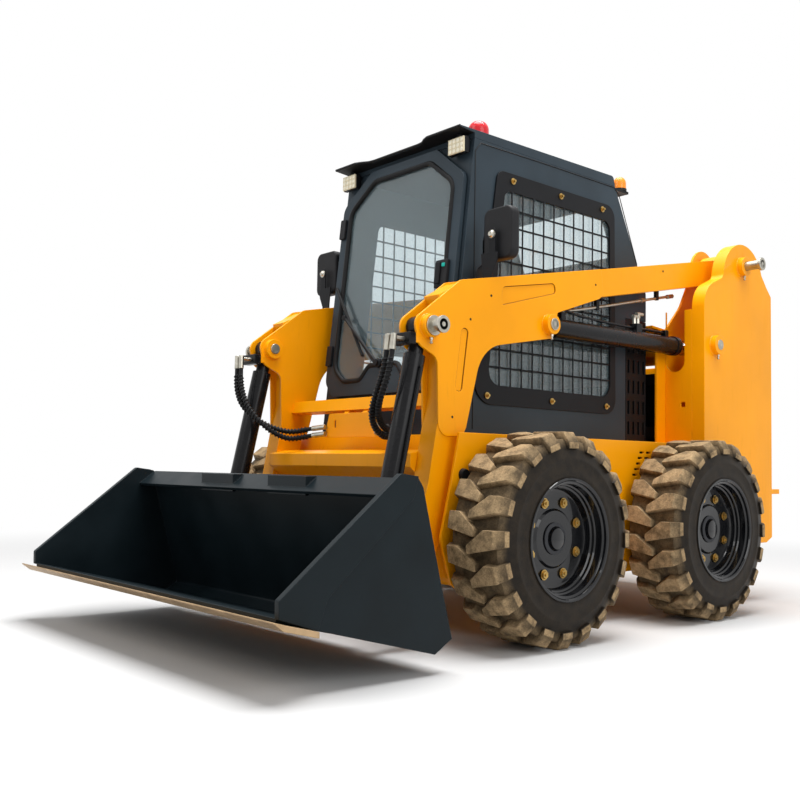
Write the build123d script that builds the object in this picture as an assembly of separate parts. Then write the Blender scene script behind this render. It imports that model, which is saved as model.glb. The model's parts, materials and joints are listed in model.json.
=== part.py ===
from build123d import *
import math
import os

# Skid steer loader. Millimetres, +Z up, +Y to the rear, +X to the machine's left.
# Side-view points are (station, height): stations run rearwards from the front
# axle, heights run up from the ground.

# ---------------------------------------------------------------- driving sizes
WHEELBASE = 1050.0
EDGE_STATION = -1280.0          # tip of the bucket's cutting edge
REAR_STATION = 1888.0           # back of the frame
TOW_REACH = 77.0                # tow lugs behind the frame
FRONT_AXLE_Y = -(EDGE_STATION + REAR_STATION + TOW_REACH) / 2   # length centred on Y = 0

TYRE_RADIUS = 387.5             # out to the corners of the lugs
TYRE_WIDTH = 262.0
LUG_COUNT = 20                  # on each half of the tread
LUG_HALF = 43.0                 # half a lug's length round the tyre
LUG_PROUD = 3.0                 # lugs beyond the sidewall
TREAD_DEPTH = 29.0
WHEEL_X = 735.5                 # middle of a wheel
RIM_SEAT_RADIUS = 208.0
RIM_FLANGE_RADIUS = 220.0
RIM_WALL = 9.0
RIM_SIDES = 32
LAMP_SIDES = 16
DISC_FACE = 48.0                # outside of a wheel's disc from its middle
HUB_RADIUS = 92.0
HUB_STATION_X = 705.0           # where an axle tube ends
AXLE_TUBE_RADIUS = 70.0
FLANGE_RADIUS = 115.0           # flange of an axle tube on the frame
HUB_GAP = 5.0                   # between an axle tube and its turning hub

PLATE = 12.0                    # frame, tower and ear plate
FRAME_HALF = 585.0              # outer face of the frame's sides
DECK_Z = 765.0
BELLY_Z = 205.0
ENGINE_HALF = 230.0
ENGINE_LENGTH = 505.0
ENGINE_TOP = 860.0

TOWER_HALF = 650.0              # outer face of a tower
TOWER_INNER_X = 430.0           # inner face of a tower's inner plate
TOWER_FRONT = 1250.0
ARCH_RADIUS = 430.0
TOW_EYE_RADIUS = 14.0
TOW_LUG_THICK = 24.0
TOW_LUG_Z = 540.0

ARM_INNER_X = 450.0
ARM_OUTER_X = 540.0
ARM_PLATE = 10.0
TUBE_INSET = 5.0                # box tube and leg sit inside the arm's plates
TUBE_HEIGHT = 121.0
FOOT_RADIUS = 52.0              # round the hitch pin

CAB_HALF = 400.0
CAB_WALL = 12.0
CAB_TOP = 1997.0
EAVE_DROP = 47.0
CAB_REAR = 1150.0
CAB_FRONT_AT_DECK = -165.0
FRAME_LEAN = 0.111              # rise over run of the cab's sloping front
SEAT_PAN_Z = 1062.0
GUARD_THICK = 8.0
GUARD_BAR = 3.5                 # depth of one layer of the guards' bars
GLASS = 6.0
DOOR_THICK = 26.0
DOOR_HALF = 383.0

BUCKET_HALF = 868.0
BUCKET_PLATE = 12.0
DOUBLER = 10.0                  # wear strip on the front of a bucket's side
EDGE_HALF = 906.0
EDGE_THICK = 18.0
EDGE_DEPTH = 150.0

PIN_RADIUS = 22.0
BOSS_RADIUS = 46.0
TILT_TUBE_RADIUS = 39.0
LIFT_TUBE_RADIUS = 42.0
ROD_RADIUS = 20.0
EYE_RADIUS = 36.0
EYE_WIDTH = 56.0
TILT_SHOWING = 178.0            # from the tilt barrel's end to its rod's eye
TILT_INSIDE = 432.0             # rod inside the tilt barrel
LIFT_SHOWING = 100.0
LIFT_INSIDE = 860.0
HOSE_RADIUS = 9.0
FERRULE_RADIUS = 11.0
ROD_GAP = 0.5                   # between a rod and its gland
MOVE_GAP = 5.0                  # between pieces that move past each other
SEAT_GAP = 0.3                  # between faces that only touch
EAR_GAP = 3.0                   # between a leg and the hitch's ears

# ---------------------------------------------------------------- pin centres
PIVOT = (1592.0, 1642.0)        # arms on the towers
LIFT_PIN = (260.0, 1218.0)      # lift cylinder's barrel on the arm
BASE_PIN = (1345.0, 1232.0)     # lift cylinder's rod in the tower
TILT_PIN = (-403.0, 1139.0)     # tilt cylinder's barrel in the arm's nose
HITCH_PIN = (-450.0, 190.0)     # bucket on the arms' legs
EYE_PIN = (-575.0, 380.0)       # tilt cylinder's rod on the bucket

# The wheels stand on the corners of the half tread whose lugs straddle the bottom.
AXLE_Z = TYRE_RADIUS * math.cos(math.pi / LUG_COUNT - math.asin(LUG_HALF / TYRE_RADIUS))
FRONT_AXLE = (0.0, AXLE_Z)
REAR_AXLE = (WHEELBASE, AXLE_Z)

ARM_MID_X = (ARM_INNER_X + ARM_OUTER_X) / 2
CORE_LOW = ARM_INNER_X + TUBE_INSET
CORE_HIGH = ARM_OUTER_X - TUBE_INSET
EAVE_Z = CAB_TOP - EAVE_DROP


# ---------------------------------------------------------------- small helpers
def corner(before, here, after, radius):
    """Start, middle and end of the arc that rounds one corner of an outline."""
    back = (before - here).normalized()
    ahead = (after - here).normalized()
    half = math.radians(back.get_angle(ahead)) / 2
    reach = radius / math.tan(half)
    bisector = (back + ahead).normalized()
    middle = here + bisector * (radius / math.sin(half) - radius)
    return here + back * reach, middle, here + ahead * reach


def profile(rows):
    """Closed face from rows of (across, up, corner radius)."""
    points = [Vector(across, up) for across, up, radius in rows]
    spans = []
    for index, (across, up, radius) in enumerate(rows):
        here = points[index]
        if radius == 0:
            spans.append((here, None, here))
        else:
            after = points[(index + 1) % len(points)]
            spans.append(corner(points[index - 1], here, after, radius))
    edges = []
    for index, (start, middle, end) in enumerate(spans):
        if middle is not None:
            edges.append(ThreePointArc(start, middle, end))
        following = spans[(index + 1) % len(spans)][0]
        if (following - end).length > 0.01:
            edges.append(Line(end, following))
    return make_face(edges)


def plate(rows, x_low, x_high):
    """Side-view outline of (station, height, corner radius), between two X values."""
    plane = Plane(origin=(x_low, FRONT_AXLE_Y, 0), x_dir=(0, 1, 0), z_dir=(1, 0, 0))
    return extrude(plane * profile(rows), amount=x_high - x_low)


def front_sheet(rows, station_low, station_high):
    """Front-view outline of (x, height, corner radius), between two stations."""
    plane = Plane(origin=(0, FRONT_AXLE_Y + station_high, 0), x_dir=(1, 0, 0), z_dir=(0, -1, 0))
    return extrude(plane * profile(rows), amount=station_high - station_low)


def plan_sheet(rows, z_low, z_high):
    """Plan outline of (x, station, corner radius), between two heights."""
    plane = Plane(origin=(0, FRONT_AXLE_Y, z_low))
    return extrude(plane * profile(rows), amount=z_high - z_low)


def block(x_low, x_high, station_low, station_high, z_low, z_high):
    size = (x_high - x_low, station_high - station_low, z_high - z_low)
    middle = Vector(
        (x_low + x_high) / 2,
        FRONT_AXLE_Y + (station_low + station_high) / 2,
        (z_low + z_high) / 2,
    )
    return Pos(middle) * Box(*size)


def shaft(point, x_low, x_high, radius):
    """Cylinder along X at a side-view point."""
    plane = Plane(origin=(x_low, FRONT_AXLE_Y + point[0], point[1]), z_dir=(1, 0, 0))
    return extrude(plane * Circle(radius), amount=x_high - x_low)


def rod_between(start, end, radius):
    """Round bar between two points in space."""
    start, end = Vector(*start), Vector(*end)
    plane = Plane(origin=start, z_dir=(end - start).normalized())
    return extrude(plane * Circle(radius), amount=(end - start).length)


def faceted(rows, sides):
    """Flat-sided turned solid along X from (offset, radius to a corner) rows."""
    turns = [2 * math.pi * index / sides for index in range(sides)]
    rings = []
    for offset, radius in rows:
        rings.append([Vector(offset, radius * math.sin(turn), radius * math.cos(turn)) for turn in turns])
    faces = [Face(Wire.make_polygon(rings[0])), Face(Wire.make_polygon(rings[-1]))]
    for ring, following in zip(rings, rings[1:]):
        for index in range(sides):
            corners = [ring[index - 1], ring[index], following[index], following[index - 1]]
            faces.append(Face(Wire.make_polygon(corners)))
    return Solid(Shell(faces))


def at(x, point):
    """Point in space at a side-view point."""
    return Vector(x, FRONT_AXLE_Y + point[0], point[1])


def along(start, end, distance):
    """Side-view point on the line from start towards end."""
    run, rise = end[0] - start[0], end[1] - start[1]
    length = math.hypot(run, rise)
    return (start[0] + run * distance / length, start[1] + rise * distance / length)


def line_through(first, second):
    """Function that gives the station of a straight side-view line at a height."""
    slope = (second[0] - first[0]) / (second[1] - first[1])
    return lambda height: first[0] + (height - first[1]) * slope


def other_side(solid):
    return mirror(solid, about=Plane.YZ)


def both_sides(solid):
    return [solid, other_side(solid)]


def save(node, *solids):
    parts = []
    for solid in solids:
        parts.extend(solid.solids())
    shape = parts[0] if len(parts) == 1 else Compound(parts)
    export_step(shape, f"parts/{node}.step")


# ---------------------------------------------------------------- wheels
def tyre():
    """Left tyre about its own middle: carcass and two staggered rows of bent bars."""
    wall = TYRE_WIDTH / 2 - LUG_PROUD
    outer = TYRE_WIDTH / 2
    floor = TYRE_RADIUS - TREAD_DEPTH
    top = math.sqrt(TYRE_RADIUS**2 - LUG_HALF**2)
    shoulder = outer - 24
    side = RIM_SEAT_RADIUS + 84
    rows = [(-wall, side), (-shoulder, floor), (shoulder, floor), (wall, side)]
    carcass = faceted(rows, LUG_COUNT)
    bore = RIM_SEAT_RADIUS / math.cos(math.pi / LUG_COUNT)
    carcass -= faceted([(-outer, bore), (outer, bore)], LUG_COUNT)
    # (offset outwards, distance forwards over the top), tip at the tread's middle
    plan = [
        (outer, LUG_HALF),
        (outer - 71, LUG_HALF),
        (-16, -12),
        (-16, -LUG_HALF),
        (outer, -14),
    ]
    # (offset outwards, radius): flat top, sloped over the shoulder
    section = [
        (-20, floor - 13),
        (-20, top),
        (shoulder, top),
        (outer, top - 39),
        (outer, top - 62),
        (shoulder - 6, top - 62),
    ]
    low = top - 70
    bar = extrude(Plane(origin=(0, 0, low)) * profile([(u, v, 0) for u, v in plan]), amount=top - low)
    cut = Plane(origin=(0, LUG_HALF + 1, 0), x_dir=(1, 0, 0), z_dir=(0, -1, 0))
    bar &= extrude(cut * profile([(u, r, 0) for u, r in section]), amount=2 * LUG_HALF + 2)
    pitch = 360 / LUG_COUNT
    bars = []
    for index in range(LUG_COUNT):
        bars.append(Rot(index * pitch, 0, 0) * bar)
        bars.append(Rot((index + 0.5) * pitch, 0, 0) * other_side(bar))
    return carcass.fuse(*bars)


def rim():
    """Left rim about its own middle: flanges outside the beads, deep dish, disc and hub."""
    wall = TYRE_WIDTH / 2 - LUG_PROUD + SEAT_GAP
    lip = wall + 5.7
    seat = RIM_SEAT_RADIUS - SEAT_GAP
    inner = seat - RIM_WALL
    well = inner - 19
    solid = faceted(
        [(-lip, RIM_FLANGE_RADIUS), (-wall, RIM_FLANGE_RADIUS), (-wall, seat),
         (wall, seat), (wall, RIM_FLANGE_RADIUS), (lip, RIM_FLANGE_RADIUS)],
        RIM_SIDES,
    )
    solid -= faceted([(DISC_FACE, well), (DISC_FACE + 18, inner), (lip + 1, inner)], RIM_SIDES)
    back = DISC_FACE - PLATE
    solid -= faceted([(-lip - 1, inner), (-60, inner), (-44, well), (back, well)], RIM_SIDES)
    hub_start = HUB_STATION_X + HUB_GAP - WHEEL_X
    solid += faceted([(hub_start, HUB_RADIUS), (back, HUB_RADIUS)], LUG_COUNT)
    solid += faceted([(DISC_FACE, HUB_RADIUS), (DISC_FACE + 6, HUB_RADIUS - 6)], LUG_COUNT)
    solid += faceted([(DISC_FACE + 6, 42), (DISC_FACE + 26, 36)], LUG_COUNT)
    return solid


def wheel_at(solid, side, axle):
    placed = Pos(at(WHEEL_X, axle)) * solid
    return placed if side > 0 else other_side(placed)


# ---------------------------------------------------------------- frame
BAY_FRONT = CAB_REAR + 24
BAY_HALF = TOWER_INNER_X - 12
BAY_SILL = 400.0


def frame_outline(inset):
    """Side view of the tub, its front wall set back behind the arms' legs."""
    rear = REAR_STATION - inset
    return [
        (-180 + inset, DECK_Z - inset, 0),
        (-240 + inset, 556, 0),
        (-285 + inset, 380, 30),
        (-262 + inset, BELLY_Z + inset, 40),
        (rear - 130, BELLY_Z + inset, 0),
        (rear, 330 + inset, 0),
        (rear, DECK_Z - inset, 0),
    ]


CHEEK = [
    (-283, DECK_Z, 0),
    (-325, 573, 0),
    (-372, 385, 40),
    (-310, BELLY_Z, 50),
    (-200, BELLY_Z, 0),
    (-170, DECK_Z, 0),
]
VENT_PITCH = 24.5
VENT_LEAN = 13.0


def chassis_frame():
    """Welded tub: sides with cheeks beside the legs, belly, sloping front and deck."""
    wall = PLATE
    tub = plate(frame_outline(0), -FRAME_HALF, FRAME_HALF)
    tub -= plate(frame_outline(wall), wall - FRAME_HALF, FRAME_HALF - wall)
    rear = REAR_STATION
    tub -= block(-BAY_HALF, BAY_HALF, BAY_FRONT, rear - wall, DECK_Z - 40, DECK_Z + 1)
    tub -= block(-BAY_HALF, BAY_HALF, rear - 40, rear + 1, BAY_SILL, DECK_Z + 1)
    cheek = plate(CHEEK, FRAME_HALF - wall, FRAME_HALF)
    tub = tub.fuse(*both_sides(cheek))
    vents = []
    for row in range(5):
        foot = WHEELBASE / 2 + 269 + VENT_LEAN * row
        low = DECK_Z - 152 + VENT_PITCH * row
        for column in range(1 + row // 3):
            start = foot + 50 * column
            vents.append(block(FRAME_HALF - wall - 1, FRAME_HALF + 1, start - 17, start + 17, low, low + 9))
    for vent in vents:
        tub -= vent
        tub -= other_side(vent)
    return tub


def tower(side):
    """Outer box with the wheel arch, the head's bosses and the tow lug."""
    rear = REAR_STATION
    front = TOWER_FRONT
    outline = [
        (front, DECK_Z - 40, 0),
        (front, 1495, 130),
        (1415, 1565, 40),
        (1465, 1682, 0),
        (1612, 1700, 0),
        (1790, 1630, 0),
        (1843, 1572, 0),
        (rear, 1530, 12),
        (rear, 312, 0),
        (rear - 56, 287, 0),
        (1000, 287, 0),
        (1000, DECK_Z - 40, 0),
    ]
    head = (PIVOT[0] + 20, PIVOT[1] - 77)
    body = plate(outline, FRAME_HALF, TOWER_HALF)
    body += shaft(head, FRAME_HALF, TOWER_HALF, 190)
    body -= shaft(REAR_AXLE, FRAME_HALF - 1, TOWER_HALF + 1, ARCH_RADIUS)
    for pin in (PIVOT, BASE_PIN):
        body += shaft(pin, TOWER_HALF, TOWER_HALF + 28, BOSS_RADIUS)
    body += shaft(PIVOT, ARM_OUTER_X + MOVE_GAP, FRAME_HALF, BOSS_RADIUS)
    body -= shaft(PIVOT, ARM_OUTER_X, TOWER_HALF + 40, PIN_RADIUS + SEAT_GAP)
    lug_low, lug_high = TOW_LUG_Z - TOW_LUG_THICK / 2, TOW_LUG_Z + TOW_LUG_THICK / 2
    body += block(FRAME_HALF, TOWER_HALF, rear, rear + TOW_REACH, lug_low, lug_high)
    eye = (TOWER_HALF + FRAME_HALF) / 2
    plane = Plane(origin=at(eye, (rear + TOW_REACH - 32, lug_low - 1)))
    body -= extrude(plane * Circle(TOW_EYE_RADIUS), amount=TOW_LUG_THICK + 2)
    return body if side > 0 else other_side(body)


def tower_plates():
    """Inner plates of the towers, with the pivots' bearings in their heads."""
    rear = REAR_STATION - 20
    rows = [
        (TOWER_FRONT - 72, DECK_Z, 0),
        (TOWER_FRONT - 72, 1240, 140),
        (1380, 1440, 160),
        (1486, 1620, 0),
        (1592, 1700, 0),
        (1698, 1620, 0),
        (rear, 1400, 60),
        (rear, DECK_Z, 0),
    ]
    low, high = TOWER_INNER_X, TOWER_INNER_X + PLATE
    inner = plate(rows, low, high) + shaft(PIVOT, low, high, 110)
    inner -= shaft(PIVOT, low - 1, high + 1, PIN_RADIUS + SEAT_GAP)
    return both_sides(inner)


def tower_ends():
    """Front plates slotted for the lift cylinders, and plain back plates."""
    low, high = TOWER_INNER_X + PLATE, FRAME_HALF
    front = front_sheet(
        [(low, DECK_Z, 0), (high, DECK_Z, 0), (high, 1400, 0), (low, 1400, 0)],
        TOWER_FRONT,
        TOWER_FRONT + PLATE,
    )
    slot_low, slot_high = ARM_INNER_X - MOVE_GAP, ARM_OUTER_X + MOVE_GAP
    foot = BASE_PIN[1] - 123
    slot = front_sheet(
        [(slot_low, 1401, 0), (slot_low, foot, 48), (slot_high, foot, 48), (slot_high, 1401, 0)],
        TOWER_FRONT - 1,
        TOWER_FRONT + PLATE + 1,
    )
    hole = block(525, 549, TOWER_FRONT - 1, TOWER_FRONT + PLATE + 1, 939, 963)
    front = front - slot - hole
    rear = REAR_STATION - 20
    back = block(low, high, rear - PLATE, rear, DECK_Z, 1380)
    return both_sides(front) + both_sides(back)


def axle_housings():
    """Axle tubes with their flanges, one for each wheel."""
    reach = HUB_STATION_X - FRAME_HALF
    housing = faceted(
        [
            (0, FLANGE_RADIUS),
            (14, FLANGE_RADIUS),
            (14, AXLE_TUBE_RADIUS),
            (reach, AXLE_TUBE_RADIUS),
        ],
        LUG_COUNT,
    )
    tubes = []
    for axle in (FRONT_AXLE, REAR_AXLE):
        tubes += both_sides(Pos(at(FRAME_HALF, axle)) * housing)
    return tubes


def engine_block():
    rear = REAR_STATION - 153
    return block(-ENGINE_HALF, ENGINE_HALF, rear - ENGINE_LENGTH, rear, BELLY_Z + PLATE, ENGINE_TOP)


HOOD_FRONT = CAB_REAR + 14
HOOD_TOP = 1330.0
HOOD_FALL = 50.0
DOOR_TOP = 1215.0


def engine_hood():
    """Bent sheet over the engine, folded down at its back."""
    half = TOWER_INNER_X - MOVE_GAP
    rear = REAR_STATION - 24
    rows = [
        (HOOD_FRONT, HOOD_TOP, 0),
        (rear - 60, HOOD_TOP - HOOD_FALL, 40),
        (rear, DOOR_TOP + 10, 0),
        (rear - PLATE, DOOR_TOP + 10, 0),
        (rear - 66, HOOD_TOP - HOOD_FALL - PLATE, 30),
        (HOOD_FRONT, HOOD_TOP - PLATE, 0),
    ]
    return plate(rows, -half, half)


LOUVRES = 9
LOUVRE_PITCH = 62.0
LOUVRE_HIGH = 26.0


def rear_door():
    half = TOWER_INNER_X - MOVE_GAP
    outer = REAR_STATION + 16
    door = block(-half, half, REAR_STATION + 2, outer, BAY_SILL - 20, DOOR_TOP)
    for row in range(LOUVRES):
        low = BAY_SILL + 160 + LOUVRE_PITCH * row
        door -= block(-260, 260, REAR_STATION, outer + 1, low, low + LOUVRE_HIGH)
    return door


# ---------------------------------------------------------------- cab
LEAN = math.atan(FRAME_LEAN)
BEND = (1075.0, 1615.0)         # where the back starts to slope
REAR_EAVE = 900.0
SILL_Z = 1345.0
VENT_FRONT = 985.0


def front_station(height):
    return CAB_FRONT_AT_DECK + (height - DECK_Z) * FRAME_LEAN


def front_plane(offset):
    """Plane of the cab's sloping front, moved outwards by offset; local x, up."""
    origin = at(0, (CAB_FRONT_AT_DECK, DECK_Z))
    normal = Vector(0, -math.cos(LEAN), math.sin(LEAN))
    return Plane(origin=origin + normal * offset, x_dir=(1, 0, 0), z_dir=normal)


def front_panel(rows, low, high):
    """Outline of (x, height, radius) on the sloping front, from offset low to high."""
    tilted = [(x, (z - DECK_Z) / math.cos(LEAN), radius) for x, z, radius in rows]
    return extrude(front_plane(low) * profile(tilted), amount=high - low)


def side_rows():
    return [
        (front_station(EAVE_Z), EAVE_Z, 0),
        (CAB_FRONT_AT_DECK, DECK_Z, 0),
        (VENT_FRONT, DECK_Z, 0),
        (VENT_FRONT, SILL_Z, 0),
        (CAB_REAR, SILL_Z, 0),
        (CAB_REAR, 1480, 40),
        (BEND[0], BEND[1], 60),
        (REAR_EAVE, EAVE_Z, 0),
    ]


WINDOW = [(140, 1773, 40), (47, 970, 60), (858, 968, 60), (850, 1773, 45)]
GUARD = [(96, 1850, 45), (-45, 890, 100), (900, 890, 70), (886, 1850, 60)]
GUARD_COLUMNS = 12
GUARD_ROWS = 11


def cab_sides():
    panel = plate(side_rows(), CAB_HALF - CAB_WALL, CAB_HALF)
    panel -= plate(WINDOW, CAB_HALF - CAB_WALL - 1, CAB_HALF + 1)
    return both_sides(panel)


def side_windows():
    return both_sides(plate(WINDOW, CAB_HALF - CAB_WALL + 3, CAB_HALF - 3))


def window_guards():
    """Guard plates with upright bars let in outside and level bars inside."""
    low, high = CAB_HALF, CAB_HALF + GUARD_THICK
    guard = plate(GUARD, low, high) - plate(WINDOW, low - 1, high + 1)
    front, rear = WINDOW[1][0], WINDOW[2][0]
    foot, top = WINDOW[1][1], WINDOW[0][1]
    edge = line_through(WINDOW[1], WINDOW[0])
    lap = 12
    for column in range(1, GUARD_COLUMNS):
        station = front + column * (rear - front) / GUARD_COLUMNS
        reach = top
        if station < WINDOW[0][0]:
            reach = foot + (station - front) * (top - foot) / (WINDOW[0][0] - front)
        bar = block(high - GUARD_BAR, high, station - 4, station + 4, foot - lap, reach + lap)
        guard += bar
    for row in range(1, GUARD_ROWS):
        height = foot + row * (top - foot) / GUARD_ROWS
        bar = block(low, low + GUARD_BAR, edge(height) - lap, rear + lap, height - 4, height + 4)
        guard += bar
    return both_sides(guard)


SLOT_COLUMNS = 4
SLOT_ROWS = 5


def vent_panels():
    """Slotted panels behind the side windows."""
    panel = block(CAB_HALF - CAB_WALL, CAB_HALF, VENT_FRONT + 2, CAB_REAR, DECK_Z, SILL_Z - 2)
    for column in range(SLOT_COLUMNS):
        for row in range(SLOT_ROWS):
            station = VENT_FRONT + 25 + 40 * column
            low = DECK_Z + 39 + 96 * row
            panel -= block(CAB_HALF - CAB_WALL - 1, CAB_HALF + 1, station - 7, station + 7, low, low + 62)
    return both_sides(panel)


VISOR_TIP = -116.0
VISOR_BAY = 34.0                # how far the visor's edge is set back in its middle
ROOF_REAR = REAR_EAVE - 12
ROOF_FRONT = front_station(EAVE_Z) + 4
ROOF_FALL = 12.0                # the roof falls this much from its rear to its front


def roof_top(station):
    return CAB_TOP - ROOF_FALL * (ROOF_REAR - station) / (ROOF_REAR - ROOF_FRONT)


def visor_under(station):
    """Underside of the visor, thinner towards its tip."""
    front = front_station(EAVE_Z)
    return CAB_TOP - 26 + 6 * (front - station) / (front - VISOR_TIP)


def cab_roof():
    """Roof cap with its eaves, and the visor with a hollowed edge over the door."""
    front = front_station(EAVE_Z)
    roof = plate(
        [
            (front, EAVE_Z, 0),
            (REAR_EAVE, EAVE_Z, 0),
            (ROOF_REAR, CAB_TOP, 20),
            (ROOF_FRONT, roof_top(ROOF_FRONT), 0),
            (VISOR_TIP, CAB_TOP - 14, 0),
            (VISOR_TIP, visor_under(VISOR_TIP), 0),
            (front, visor_under(front), 0),
        ],
        -CAB_HALF,
        CAB_HALF,
    )
    bay = plan_sheet(
        [
            (-250, VISOR_TIP - 1, 0),
            (-205, VISOR_TIP + VISOR_BAY, 30),
            (150, VISOR_TIP + VISOR_BAY, 30),
            (195, VISOR_TIP - 1, 0),
        ],
        EAVE_Z,
        CAB_TOP,
    )
    return roof - bay


DOORWAY = [
    (200, 1925, 40),
    (-200, 1925, 40),
    (-350, 1795, 60),
    (-350, 1010, 60),
    (-300, 955, 60),
    (300, 955, 60),
    (350, 1010, 60),
    (350, 1795, 60),
]


def cab_front():
    half = CAB_HALF - CAB_WALL
    foot = DECK_Z + 2
    rows = [(half, EAVE_Z - 2, 0), (-half, EAVE_Z - 2, 0), (-half, foot, 0), (half, foot, 0)]
    return front_panel(rows, -CAB_WALL, 0) - front_panel(DOORWAY, -CAB_WALL - 1, 1)


REAR_PANE = (280, 1660, 1880)   # half width, foot and top of the rear window


def cab_rear():
    """Back panel: upright below, sloping above with the rear window cut in it."""
    half = CAB_HALF - CAB_WALL
    wall = CAB_WALL
    panel = plate(
        [
            (CAB_REAR, DECK_Z, 0),
            (CAB_REAR, 1480, 40),
            (BEND[0], BEND[1], 60),
            (REAR_EAVE, EAVE_Z, 0),
            (REAR_EAVE - wall, EAVE_Z, 0),
            (BEND[0] - wall, BEND[1] - 5, 50),
            (CAB_REAR - wall, 1478, 30),
            (CAB_REAR - wall, DECK_Z, 0),
        ],
        -half,
        half,
    )
    pane, foot, top = REAR_PANE
    return panel - block(-pane, pane, REAR_EAVE, BEND[0] + 5, foot, top)


def rear_station(height):
    """Outer face of the cab's sloping back at a height."""
    return BEND[0] - (height - BEND[1]) * (BEND[0] - REAR_EAVE) / (EAVE_Z - BEND[1])


def rear_window():
    pane, foot, top = REAR_PANE
    rows = [
        (rear_station(foot) - 3 - GLASS, foot, 0),
        (rear_station(foot) - 3, foot, 0),
        (rear_station(top) - 3, top, 0),
        (rear_station(top) - 3 - GLASS, top, 0),
    ]
    return plate(rows, -pane, pane)


RISER = 420.0                   # front of the seat's box


def cab_floor():
    """Foot well floor, riser and seat pan in one bent sheet."""
    half = CAB_HALF - CAB_WALL
    rear = CAB_REAR - CAB_WALL
    front = front_station(DECK_Z) + CAB_WALL + 8
    rows = [
        (front, DECK_Z, 0),
        (RISER, DECK_Z, 0),
        (RISER, SEAT_PAN_Z - PLATE, 0),
        (rear, SEAT_PAN_Z - PLATE, 0),
        (rear, SEAT_PAN_Z, 0),
        (RISER - PLATE, SEAT_PAN_Z, 0),
        (RISER - PLATE, DECK_Z + PLATE, 0),
        (front, DECK_Z + PLATE, 0),
    ]
    return plate(rows, -half, half)


def seat():
    """Seat cushion and backrest."""
    pan = SEAT_PAN_Z
    front = RISER + 30
    base = plate(
        [(front, pan, 0), (front, pan + 128, 40), (front + 450, pan + 108, 30), (front + 450, pan, 0)],
        -245,
        245,
    )
    back = plate(
        [
            (front + 455, pan + 38, 0),
            (front + 395, pan + 118, 0),
            (front + 480, pan + 578, 40),
            (front + 560, pan + 578, 30),
            (front + 540, pan + 38, 0),
        ],
        -235,
        235,
    )
    return [base, back]


def control_pods():
    """Armrest pods with a joystick on each."""
    top = SEAT_PAN_Z + 198
    pod = block(270, 350, RISER + 10, RISER + 380, SEAT_PAN_Z, top)
    stick = rod_between(at(310, (RISER + 50, top)), at(310, (RISER + 35, top + 110)), 9)
    grip = rod_between(at(310, (RISER + 36, top + 105)), at(310, (RISER + 26, top + 190)), 20)
    return both_sides(pod + stick + grip)


def work_lights():
    """Square lamps hung under the visor's corners on short brackets."""
    front = front_station(1925)
    lamp = block(303, 383, front - 50, front - 8, 1895, 1952)
    rear = front - 30
    lamp += plate(
        [(rear, 1940, 0), (front, 1940, 0), (front, visor_under(front), 0), (rear, visor_under(rear), 0)],
        330,
        356,
    )
    return both_sides(lamp)


def standing(x, station, foot, rows):
    """Flat-sided turned solid standing upright, rows as in faceted."""
    return Pos(at(x, (station, foot))) * Rot(0, -90, 0) * faceted(rows, LAMP_SIDES)


def beacon():
    """Low round lamp on the roof: foot, drum and domed top."""
    middle, foot_radius = 90, 47
    rows = [(0, foot_radius), (14, foot_radius), (16, 44), (66, 42), (88, 32), (98, 12)]
    return standing(300, middle, roof_top(middle + foot_radius), rows)


def corner_lamps():
    """Small lamps on brackets at the cab's sloping back corners."""
    foot = EAVE_Z - 10
    top = foot + 12
    lamp = standing(360, 990, top, [(0, 33), (50, 33), (66, 22), (70, 8)])
    lamp += plate(
        [(rear_station(foot), foot, 0), (1020, foot, 0), (1020, top, 0), (REAR_EAVE, top, 0)],
        330,
        390,
    )
    return both_sides(lamp)


def rubber_stops():
    stop = faceted([(0, 24), (16, 20)], LUG_COUNT)
    return both_sides(Pos(at(FRAME_HALF, (-264, 612))) * stop)


# ---------------------------------------------------------------- loader arms
def arm_rows():
    """Side outline of an arm's plates: nose, upright leg part and rising beam."""
    lift_x, lift_z = LIFT_PIN
    return [
        (-470, 1160, 46),
        (-448, 1071, 46),
        (-356, 1031, 40),
        (-346, 748, 52),
        (-214, 752, 52),
        (-123, 1091, 160),
        (lift_x + 20, lift_z - 53, 0),
        (lift_x + 50, lift_z - 10, 20),
        (lift_x + 56, lift_z + 56, 15),
        (598, 1368, 15),
        (624, 1390, 10),
        (610, 1499, 10),
        (-242, 1330, 40),
    ]


def leg_rows():
    """Leg from inside the plates down to its foot round the hitch pin."""
    hitch_x, hitch_z = HITCH_PIN
    reach = FOOT_RADIUS
    return [
        (-330, 900, 0),
        (-352, 778, 0),
        (-388, 582, 90),
        (hitch_x - reach, hitch_z + 10, 0),
        (hitch_x, hitch_z - 20, 0),
        (hitch_x + reach, hitch_z, 0),
        (-319, 399, 60),
        (-278, 567, 60),
        (-228, 780, 0),
        (-200, 900, 0),
    ]


def core_rows():
    """Filled part between an arm's plates, open for the two cylinders' ends."""
    return [
        (-350, 1262, 0),
        (-300, 1150, 40),
        (-330, 1000, 0),
        (-332, 770, 0),
        (-226, 770, 0),
        (-133, 1100, 168),
        (LIFT_PIN[0] + 62, LIFT_PIN[1] + 78, 0),
        (606, 1388, 0),
        (600, 1488, 0),
        (-238, 1321, 30),
    ]


TUBE_START = (610.0, 1499.0)    # top edge of the box tube where it leaves the plates
TUBE_END = (1508.0, 1679.0)


def tube_top(station):
    rise = (TUBE_END[1] - TUBE_START[1]) / (TUBE_END[0] - TUBE_START[0])
    return TUBE_START[1] + (station - TUBE_START[0]) * rise


def tube_rows():
    """Box tube from inside the plates back to the pivot."""
    front, rear = TUBE_START[0] - 90, PIVOT[0] - 30
    return [
        (front, tube_top(front) - 1, 0),
        (front, tube_top(front) - TUBE_HEIGHT, 0),
        (rear, tube_top(rear) - TUBE_HEIGHT, 0),
        (PIVOT[0], PIVOT[1], 0),
        (rear, tube_top(rear), 0),
    ]


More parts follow.
